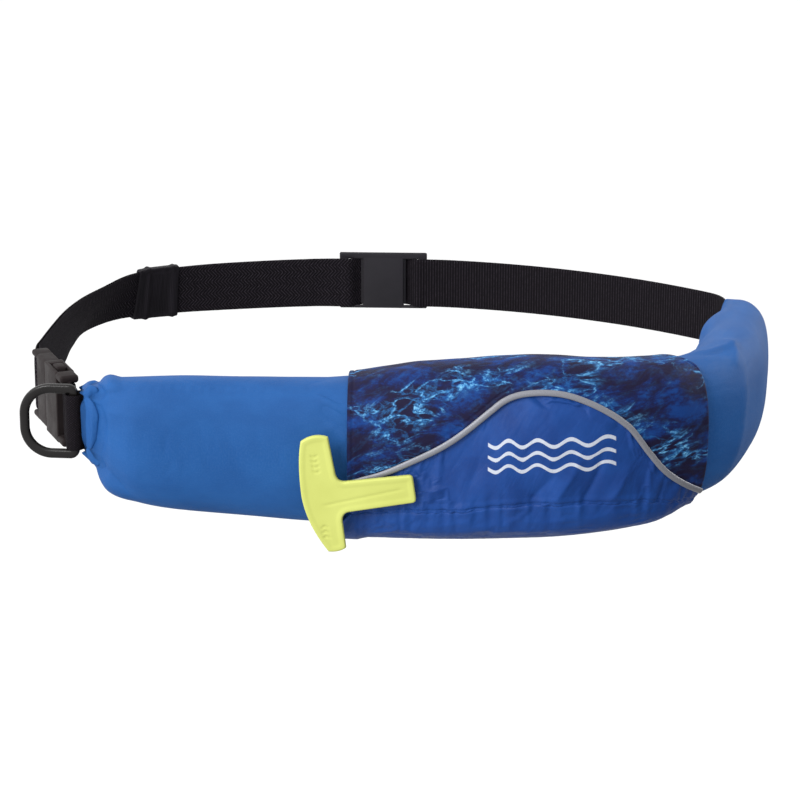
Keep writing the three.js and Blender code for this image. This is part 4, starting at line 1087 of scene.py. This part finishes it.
HANDLE_FACE = 2 * GAP + PATCH_THICK + HANDLE_THICK / 2
STEM_MIDDLE = HANDLE_BAR_WIDE / 2 + HANDLE_STEM_LONG - PATCH_LONG / 2 - 6
# Rows of net points inside the rim, the spacing of the net, and the middles of the moulded chevrons.
RIM_INSETS, NET_SPACING, HANDLE_RIM = (0.25, 0.6, 1.0, 1.5, 2.1), 0.9, 1.2
CHEVRONS = (-29, -25.5, -22, 15, 18.5, 22, 25.5)


def distance_from(points, outline):
    """Distance from each point to the nearest one of an outline."""
    return np.sqrt(((points[:, None] - outline[None]) ** 2).sum(-1)).min(1)


def make_handle():
    """The handle: its outline filled with a fine net of points. The front is rounded at its rim, dished
    inside a low border, and has the groove from the bar into the stem and the chevrons moulded in."""
    outline = handle_outline()
    ahead = unit(np.roll(outline, -1, 0) - np.roll(outline, 1, 0))
    area = np.sum(outline[:, 0] * np.roll(outline[:, 1], -1) - np.roll(outline[:, 0], -1) * outline[:, 1])
    inward = np.stack([-ahead[:, 1], ahead[:, 0]], -1) * np.sign(area)
    count = len(outline)
    low, high = outline.min(0), outline.max(0)
    x, y = np.meshgrid(*(np.arange(low[k], high[k], NET_SPACING) for k in (0, 1)), indexing="ij")
    inner = [np.stack([x.ravel(), y.ravel()], -1)]
    inner += [outline[::2] + inward[::2] * inset for inset in RIM_INSETS]
    inner = np.vstack(inner)
    limits = np.concatenate([np.full(x.size, 2.5)] + [np.full(count // 2, 0.93 * i) for i in RIM_INSETS])
    inner = inner[distance_from(inner, outline[::2]) > limits]
    net = np.vstack([outline, inner])
    edges = [(k, (k + 1) % count) for k in range(count)]
    flat, _, faces, *_ = delaunay_2d_cdt([Vector(p) for p in net.tolist()], edges, [], 1, 1e-6)
    flat = np.array([tuple(p) for p in flat])
    away = distance_from(flat, outline)
    rim, half = HANDLE_RIM, HANDLE_THICK / 2
    edge = rim - np.sqrt(np.maximum(rim**2 - np.maximum(rim - away, 0) ** 2, 0))
    side = HANDLE_BAR_WIDE / 2
    groove_y = -HANDLE_STEM_LOW - 3 + 0.09 * (flat[:, 0] - side)
    groove = 0.45 * hill(flat[:, 1], groove_y, 1.3) * step(flat[:, 0], -2, 4) * step(flat[:, 0], 56, 50)
    dish = 0.35 * step(away, 2.6, 4.2)
    chevrons = np.zeros(len(flat))
    for middle in CHEVRONS:
        mark = np.abs(flat[:, 1] - middle - 0.6 * np.abs(flat[:, 0] + 1) * np.sign(middle))
        chevrons += 0.55 * step(mark, 0.9, 0.45) * step(np.abs(flat[:, 0] + 1), 2.5, 2.1)
    front = half - edge - dish - groove - chevrons
    rear = -half + edge * 0.6
    on_rim = away < 1e-4
    total = len(flat)
    rear = np.where(on_rim, -half + 0.7, rear)
    front = np.where(on_rim, half - rim, front)
    points = np.vstack([np.c_[flat, front], np.c_[flat, rear]])
    points += np.array([-STEM_MIDDLE, HANDLE_STEM_LOW, 0])
    upper = [tuple(f) for f in faces]
    lower = [tuple(k + total for k in f[::-1]) for f in faces]
    sides = {side: True for f in upper for side in zip(f, f[1:] + f[:1])}
    walls = [(b, a, a + total, b + total) for a, b in sides if (b, a) not in sides]
    points = placed(points, *handle_place(HANDLE_FACE))
    return make_piece("handle_body", points, [], None, upper + lower + walls)


# Build

pouch = make_pouch()
cover = make_cover()
panel = make_panel()
hem = make_hem()
piping = make_piping()
belt = make_belt()
tab_strap = make_tab_strap()
ring_strap = make_ring_strap()
keeper = make_keeper()
ring = make_ring()
socket = make_socket()
plug = make_plug()
slider = make_slider()
handle = make_handle()

# What each piece is: its body, its material's slot, and the nodes that it stands for.
STANDS_FOR = [
    (pouch, PACK, "blue_nylon", ("pouch_shell", "folded_bladder")),
    (cover, PACK, "print_cloth", ("front_cover",)),
    (panel, PACK, "satin_nylon", ("pocket_panel",)),
    (hem, PACK, "satin_nylon", ("pocket_hem",)),
    (piping, PACK, "reflective", ("piping",)),
    (belt, PACK, "black_webbing", ("belt_webbing",)),
    (tab_strap, PACK, "black_webbing", ("buckle_tab",)),
    (ring_strap, PACK, "black_webbing", ("d_ring_loop",)),
    (keeper, PACK, "black_webbing", ("keeper",)),
    (ring, "ring", "black_plastic", ("d_ring",)),
    (socket, PACK, "black_plastic", ("buckle_socket",)),
    (plug, PACK, "black_plastic", ("buckle_plug",)),
    (slider, PACK, "black_plastic", ("slider",)),
    (handle, PACK, "yellow_plastic", ("pull_handle",)),
]
for piece, body, slot_name, nodes in STANDS_FOR:
    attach(piece, body)
    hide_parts(*nodes)

# Materials

class Wire:
    """A number or a colour that a material works out, with the arithmetic of its Math nodes."""

    def __init__(self, tree, socket):
        """An output socket of a node and the tree that it is in."""
        self.tree, self.socket = tree, socket

    def math(self, operation, *others):
        """The result of a Math node for one or two values."""
        node = self.tree.nodes.new("ShaderNodeMath")
        node.operation = operation
        for slot, value in zip(node.inputs, others):
            plug_in(self.tree, slot, value)
        return Wire(self.tree, node.outputs[0])

    def __add__(self, other):
        return self.math("ADD", self, other)

    def __sub__(self, other):
        return self.math("SUBTRACT", self, other)

    def __rsub__(self, other):
        return self.math("SUBTRACT", other, self)

    def __mul__(self, other):
        return self.math("MULTIPLY", self, other)

    def __truediv__(self, other):
        return self.math("DIVIDE", self, other)

    def __pow__(self, other):
        return self.math("POWER", self, other)

    def sine(self):
        return self.math("SINE", self)

    def size(self):
        return self.math("ABSOLUTE", self)

    def most(self, other):
        return self.math("MAXIMUM", self, other)

    def swing(self, width):
        """A zigzag between 0 and width that rises and falls at the value's own rate."""
        return self.math("PINGPONG", self, width)


def plug_in(tree, slot, value):
    """Links a wire to a socket, or sets the socket to a plain value."""
    if isinstance(value, Wire):
        tree.links.new(value.socket, slot)
    elif value is not None:
        slot.default_value = value


class Recipe:
    """One material: its nodes are made by their kind, settings and sockets, and it finishes one shader."""

    def __init__(self, name, **constants):
        """A new material whose shader has the given constants."""
        self.material = bpy.data.materials.new(name)
        self.material.use_nodes = True
        self.tree = self.material.node_tree
        self.shader = self.tree.nodes["Principled BSDF"]
        for socket, value in constants.items():
            self.shader.inputs[socket.replace("_", " ")].default_value = value

    def node(self, kind, output=0, settings=None, **sockets):
        """A new node of a kind, its sockets linked or set by their names with _ for a space."""
        made = self.tree.nodes.new("ShaderNode" + kind)
        for name, value in (settings or {}).items():
            setattr(made, name, value)
        for name, value in sockets.items():
            plug_in(self.tree, made.inputs[name.replace("_", " ")], value)
        return Wire(self.tree, made.outputs[output])

    def cloth_place(self):
        """Where a point lies on the flat cloth: decimetres along it and down it."""
        made = self.node("UVMap", settings={"uv_map": "cloth"})
        parts = self.tree.nodes.new("ShaderNodeSeparateXYZ")
        self.tree.links.new(made.socket, parts.inputs[0])
        return made, Wire(self.tree, parts.outputs[0]), Wire(self.tree, parts.outputs[1])

    def body_place(self):
        """Where a point lies in its own body, in metres."""
        return self.node("TexCoord", "Object")

    def joined(self, x, y, z=0.0):
        """A place from its three parts."""
        return self.node("CombineXYZ", X=x, Y=y, Z=z)

    def noise(self, place, scale, detail=2.0, rough=0.5, bend=0.0):
        """Fractal noise: bend twists its places, and each finer layer is rough times as strong."""
        return self.node("TexNoise", Vector=place, Scale=scale, Detail=detail, Roughness=rough,
                         Distortion=bend)

    def between(self, value, start, stop, low=0.0, high=1.0):
        """Carries a value from start to stop over to low to high, evenly eased."""
        return self.node("MapRange", settings={"interpolation_type": "SMOOTHSTEP"}, Value=value, **{
            "From_Min": start, "From_Max": stop, "To_Min": low, "To_Max": high})

    def blend(self, factor, first, second):
        """From the first colour to the second one."""
        node = self.tree.nodes.new("ShaderNodeMix")
        node.data_type = "RGBA"
        plug_in(self.tree, node.inputs[0], factor)
        for slot, value in ((node.inputs[6], first), (node.inputs[7], second)):
            plug_in(self.tree, slot, value if isinstance(value, Wire) else (*value, 1))
        return Wire(self.tree, node.outputs[2])

    def finish(self, colour, rough, relief, deep, strength):
        """Sets colour and roughness, and a relief of a depth in metres as a bump."""
        plug_in(self.tree, self.shader.inputs["Base Color"], colour)
        plug_in(self.tree, self.shader.inputs["Roughness"], rough)
        bump = self.node("Bump", Distance=deep, Strength=strength, Height=relief)
        self.tree.links.new(bump.socket, self.shader.inputs["Normal"])
        return self.material


# A full turn of a sine.
TURN = 2 * math.pi


def plain_weave(along, down, pitch):
    """Over and under of fine threads: the product of two sines of that pitch in millimetres."""
    return (along * (TURN * PER_MM / pitch)).sine() * (down * (TURN * PER_MM / pitch)).sine()


def nylon_material():
    """Coated pack nylon: a fine even weave, faint cloudiness and slow waves in the cloth."""
    r = Recipe("blue_nylon", Specular_IOR_Level=0.13, Sheen_Weight=0.0, Sheen_Roughness=0.5)
    place, along, down = r.cloth_place()
    cloud = r.noise(place, 3.2, 3.0, 0.55)
    fleck = r.noise(place, 90.0, 2.0, 0.6)
    shade = r.between(cloud, 0.3, 0.7, 0.0, 1.0)
    colour = r.blend(shade, NYLON_DEEP, NYLON_PALE)
    colour = r.blend(r.between(fleck, 0.35, 0.75, 0.0, 0.10), colour, (0.10, 0.22, 0.5))
    relief = plain_weave(along, down, 0.8) * 0.12 + r.noise(place, 7.0, 3.0, 0.5, 0.4) * 1.6
    return r.finish(colour, r.between(fleck, 0.3, 0.7, 0.46, 0.58), relief, 0.0006, 0.55)


# Middle of the mark: millimetres along the pouch, and down the cloth as its map counts them.
MARK_ALONG, MARK_DOWN = 304, -3


def satin_material():
    """Satin nylon: shinier and deeper, with soft creases that lean across it, and a plain mark of three
    pale waves printed on its middle."""
    r = Recipe("satin_nylon", Specular_IOR_Level=0.2, Sheen_Weight=0.0, Sheen_Roughness=0.4)
    place, along, down = r.cloth_place()
    cloud = r.noise(place, 4.0, 3.0, 0.6)
    colour = r.blend(r.between(cloud, 0.3, 0.7), SATIN_DEEP, SATIN_PALE)
    leaning = r.joined(along * 7 + down * 4, down * 2.2 - along * 1.4)
    creases = r.noise(leaning, 1.0, 3.0, 0.55, 0.4)
    relief = creases * 1.8 + plain_weave(along, down, 0.7) * 0.06
    right, low = along - MARK_ALONG / PER_MM, down - MARK_DOWN / PER_MM
    crest = (right * (TURN * PER_MM / 18.0)).sine() * 0.022
    row = ((low - crest) * (PER_MM / 8.0) + 20.5).swing(0.5)
    inked = r.between(row, 0.33, 0.37) * r.between(right.size(), 0.363, 0.357)
    inked = inked * r.between((low - crest).size(), 0.118, 0.112)
    colour = r.blend(inked * 0.9, colour, (0.62, 0.66, 0.74))
    return r.finish(colour, r.between(cloud, 0.3, 0.7, 0.36, 0.46), relief + inked * 0.15, 0.0011, 0.6)


def print_material():
    """Printed cloth: sunlight on rippled water. Ridges of stretched noise make the bright threads of light,
    over navy depths with mid-blue shoals and a fine broken grain."""
    r = Recipe("print_cloth", Specular_IOR_Level=0.1)
    place, along, down = r.cloth_place()
    drift = r.noise(r.joined(along * 1.2, down * 2.2), 1.7, 2.0, 0.5)
    flow = r.joined(along * 1.9 + drift * 0.55, down * 4.0 - drift * 0.9 + along * 0.55)
    shoals = r.noise(flow, 1.7, 5.0, 0.64, 0.3)
    grain = r.noise(r.joined(along, down * 1.5), 24.0, 4.0, 0.72)
    speck = r.noise(r.joined(along + 7.0, down), 80.0, 2.0, 0.6)
    thread = 1.0 - (r.noise(flow, 2.5, 4.0, 0.55, 0.5) - 0.5).size() * 15.0
    finer = r.joined(along * 3.4 - drift, down * 6.6 + drift * 1.2)
    second = 1.0 - (r.noise(finer, 1.6, 4.0, 0.6, 0.5) - 0.52).size() * 13.0
    lit = r.between(r.noise(r.joined(along * 1.2 + 3.1, down * 2.3), 1.5, 2.0, 0.5), 0.47, 0.64)
    colour = r.blend(r.between(shoals + grain * 0.25, 0.54, 0.74), PRINT_NAVY, PRINT_MID)
    colour = r.blend(r.between(shoals + grain * 0.4 - speck * 0.1, 0.66, 0.84) * 0.75, colour, PRINT_BLUE)
    broken = r.between(grain + speck * 0.3, 0.52, 0.74, 0.3, 1.0)
    wide_lit = r.between(lit, 0.0, 1.0, 0.08, 1.0)
    colour = r.blend(thread.most(0.0) ** 1.6 * wide_lit * broken, colour, PRINT_CYAN)
    colour = r.blend(second.most(0.0) ** 2.2 * lit * broken * 0.5, colour, PRINT_CYAN)
    colour = r.blend(thread.most(0.0) ** 4.0 * lit * r.between(grain, 0.45, 0.6), colour, PRINT_WHITE)
    relief = plain_weave(along, down, 0.8) * 0.12 + r.noise(place, 9.0, 3.0, 0.5, 0.4) * 1.4
    return r.finish(colour, r.between(grain, 0.3, 0.7, 0.5, 0.62), relief, 0.0006, 0.6)


def piping_material():
    """Silver reflective tape folded over a cord: grey with a fine grain of glass beads."""
    r = Recipe("reflective", Metallic=0.25, Specular_IOR_Level=0.5)
    place, along, down = r.cloth_place()
    grain = r.noise(place, 160.0, 2.0, 0.7)
    stripe = r.between((down * PER_MM / 12.6 * TURN).sine(), -1.0, 1.0)
    colour = r.blend(r.between(grain, 0.3, 0.7), (0.20, 0.205, 0.23), (0.28, 0.285, 0.32))
    colour = r.blend(stripe * 0.2, colour, (0.2, 0.21, 0.25))
    return r.finish(colour, r.between(grain, 0.3, 0.7, 0.34, 0.5), grain, 0.0003, 0.4)


def webbing_material(name, zones):
    """Black polyester webbing. With zones, it is ribbed across as far as the slider and a zigzag twill after
    it; without, it is a close plain weave. The crests of the weave carry a painted highlight: they are
    blended toward a paler colour in place of their shine."""
    r = Recipe(name, Specular_IOR_Level=0.07)
    place, along, down = r.cloth_place()
    cord = (along * (TURN * PER_MM / 2.1)).sine()
    thread = (down * (TURN * PER_MM / 0.9)).sine()
    ribs = cord * 0.8 + thread * 0.2 * cord.size()
    bands = (down * (PER_MM / 9.5) + 40.0).swing(0.5)
    twill = ((along * (PER_MM / 2.6) + bands * 3.4) * TURN).sine()
    fuzz = r.noise(place, 60.0, 3.0, 0.7)
    if zones:
        start = SLIDER_PLACE / PER_MM
        after = r.between(along, start - 0.02, start + 0.02)
        weave = ribs * (1.0 - after) + twill * after
    else:
        weave = plain_weave(along, down, 1.7)
    # Painted highlight: the crests of the weave are coloured paler to stand in for the shine on them.
    lit = r.between(weave, 0.1, 1.0) * r.between(fuzz, 0.35, 0.7, 0.15, 1.0)
    colour = r.blend(lit, WEB_DEEP, WEB_PAINTED_HIGHLIGHT)
    return r.finish(colour, r.between(fuzz, 0.3, 0.7, 0.7, 0.85), weave * 0.5 + fuzz * 0.4, 0.0006, 0.9)


def elastic_material():
    """Smooth knitted elastic: fine ribs round it and a softer shine."""
    r = Recipe("elastic_band", Specular_IOR_Level=0.12)
    place, along, down = r.cloth_place()
    ribs = (along * (TURN * PER_MM / 1.3)).sine()
    fuzz = r.noise(place, 30.0, 3.0, 0.6)
    colour = r.blend(r.between(fuzz, 0.3, 0.7), (0.006, 0.005, 0.007), (0.014, 0.012, 0.016))
    return r.finish(colour, r.between(fuzz, 0.3, 0.7, 0.5, 0.62), ribs * 0.4 + fuzz * 0.5, 0.0003, 0.6)


def moulded_material(name, deep, pale, rough, specular):
    """Moulded plastic: fine spark texture, slow shade changes and rubbed spots with a little more shine."""
    r = Recipe(name, Specular_IOR_Level=specular)
    place = r.body_place()
    cloud = r.noise(place, 28.0, 3.0, 0.55)
    spark = r.noise(place, 1500.0, 2.0, 0.6)
    colour = r.blend(r.between(cloud, 0.3, 0.7), deep, pale)
    worn = r.between(r.noise(place, 70.0, 4.0, 0.65), 0.35, 0.7, rough + 0.06, rough - 0.07)
    return r.finish(colour, worn, spark + cloud * 0.4, 0.0002, 0.35)


NYLON_DEEP, NYLON_PALE = (0.013, 0.084, 0.285), (0.016, 0.098, 0.32)
SATIN_DEEP, SATIN_PALE = (0.008, 0.045, 0.215), (0.010, 0.062, 0.275)
PRINT_NAVY, PRINT_MID, PRINT_BLUE = (0.011, 0.009, 0.034), (0.009, 0.020, 0.105), (0.008, 0.055, 0.25)
PRINT_CYAN, PRINT_WHITE = (0.03, 0.21, 0.55), (0.22, 0.55, 0.80)
# The second webbing colour is a painted highlight, used on the crests of the weave.
WEB_DEEP, WEB_PAINTED_HIGHLIGHT = (0.0065, 0.0052, 0.007), (0.045, 0.038, 0.048)

# Moulded plastics by name: deep colour, pale colour, roughness, shine.
PLASTICS = {
    "black_plastic": ((0.006, 0.005, 0.005), (0.009, 0.008, 0.008), 0.24, 0.3),
    "buckle_plastic": ((0.0185, 0.0145, 0.0148), (0.025, 0.0198, 0.0202), 0.5, 0.06),
    "slider_plastic": ((0.016, 0.0145, 0.018), (0.021, 0.019, 0.023), 0.5, 0.2),
    "yellow_plastic": ((0.56, 0.60, 0.145), (0.61, 0.655, 0.17), 0.5, 0.3),
}
MATERIALS = {
    "blue_nylon": nylon_material(),
    "print_cloth": print_material(),
    "satin_nylon": satin_material(),
    "reflective": piping_material(),
    "belt": webbing_material("belt_weave", True),
    "straps": webbing_material("strap_weave", False),
    "keeper": elastic_material(),
}
MATERIALS.update({name: moulded_material(name, *looks) for name, looks in PLASTICS.items()})

# Pieces whose material isn't the one that their slot is named for.
WORN_BY = {belt: "belt", tab_strap: "straps", ring_strap: "straps", keeper: "keeper",
           socket: "buckle_plastic", plug: "buckle_plastic", slider: "slider_plastic"}
for piece, _, slot_name, _ in STANDS_FOR:
    piece.data.materials.append(MATERIALS[WORN_BY.get(piece, slot_name)])
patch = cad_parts["handle_patch"]
patch.data.materials.clear()
patch.data.materials.append(MATERIALS["black_plastic"])

# Floor, camera, light

FLOOR_HALF, FLOOR_LEVEL = 40, -1.2
floor_mesh = bpy.data.meshes.new("floor")
corners = [(x * FLOOR_HALF, y * FLOOR_HALF, FLOOR_LEVEL) for x, y in ((-1, -1), (1, -1), (1, 1), (-1, 1))]
floor_mesh.from_pydata(corners, [], [(0, 1, 2, 3)])
floor = bpy.data.objects.new("floor", floor_mesh)
bpy.context.scene.collection.objects.link(floor)
pale = bpy.data.materials.new("pale_floor")
pale.use_nodes = True
pale.node_tree.nodes["Principled BSDF"].inputs["Base Color"].default_value = (0.95, 0.95, 0.95, 1)
pale.node_tree.nodes["Principled BSDF"].inputs["Roughness"].default_value = 0.9
floor.data.materials.append(pale)
floor.visible_diffuse = False
floor.visible_glossy = False

# The camera: metres to the point that it looks at, its angle above the belt, and that point in plan; its
# focal length in pixels, the picture's width in pixels, and the sensor's in millimetres.
CAMERA_DISTANCE, CAMERA_RISE, AIM = 2.078, math.radians(17), (0.005, -0.14)
FOCAL_PIXELS, PICTURE_PIXELS, SENSOR = 3050, 800, 36
camera_data = bpy.data.cameras.new("camera")
camera_data.lens = FOCAL_PIXELS * SENSOR / PICTURE_PIXELS
camera_data.sensor_width = SENSOR
camera = bpy.data.objects.new("camera", camera_data)
camera_back, camera_up = CAMERA_DISTANCE * math.cos(CAMERA_RISE), CAMERA_DISTANCE * math.sin(CAMERA_RISE)
camera.location = (AIM[0], AIM[1] - camera_back, camera_up)
camera.rotation_euler = (math.pi / 2 - CAMERA_RISE, 0, 0)
bpy.context.scene.collection.objects.link(camera)
bpy.context.scene.camera = camera

# The sky: its strength in a direction is the dot product of that direction and SKY_LEAN, plus SKY_LEVEL.
SKY_LEAN, SKY_LEVEL = (-0.60, -0.02, 0.33), 0.85
world = bpy.data.worlds.new("studio")
bpy.context.scene.world = world
world.use_nodes = True
sky = world.node_tree
facing = sky.nodes.new("ShaderNodeVectorMath")
facing.operation = "DOT_PRODUCT"
facing.inputs[1].default_value = SKY_LEAN
sky.links.new(sky.nodes.new("ShaderNodeTexCoord").outputs["Generated"], facing.inputs[0])
glow = sky.nodes.new("ShaderNodeMath")
glow.inputs[1].default_value = SKY_LEVEL
sky.links.new(facing.outputs["Value"], glow.inputs[0])
sky.links.new(glow.outputs[0], sky.nodes["Background"].inputs["Strength"])
sky.nodes["Background"].inputs["Color"].default_value = (1, 1, 1, 1)


def soft_light(name, place, target, size, power):
    """A large square lamp at a place, facing a target."""
    lamp = bpy.data.lights.new(name, "AREA")
    lamp.shape = "SQUARE"
    lamp.size = size
    lamp.energy = power
    made = bpy.data.objects.new(name, lamp)
    made.location = place
    made.rotation_euler = (Vector(target) - Vector(place)).to_track_quat("-Z", "Y").to_euler()
    bpy.context.scene.collection.objects.link(made)


soft_light("key_light", (-1.3, -1.8, 1.3), (0, -0.15, 0), 1.0, 34)
soft_light("side_light", (1.9, 1.0, 0.7), (0.2, 0, 0), 0.9, 24)
bpy.context.scene.view_settings.view_transform = "Standard"
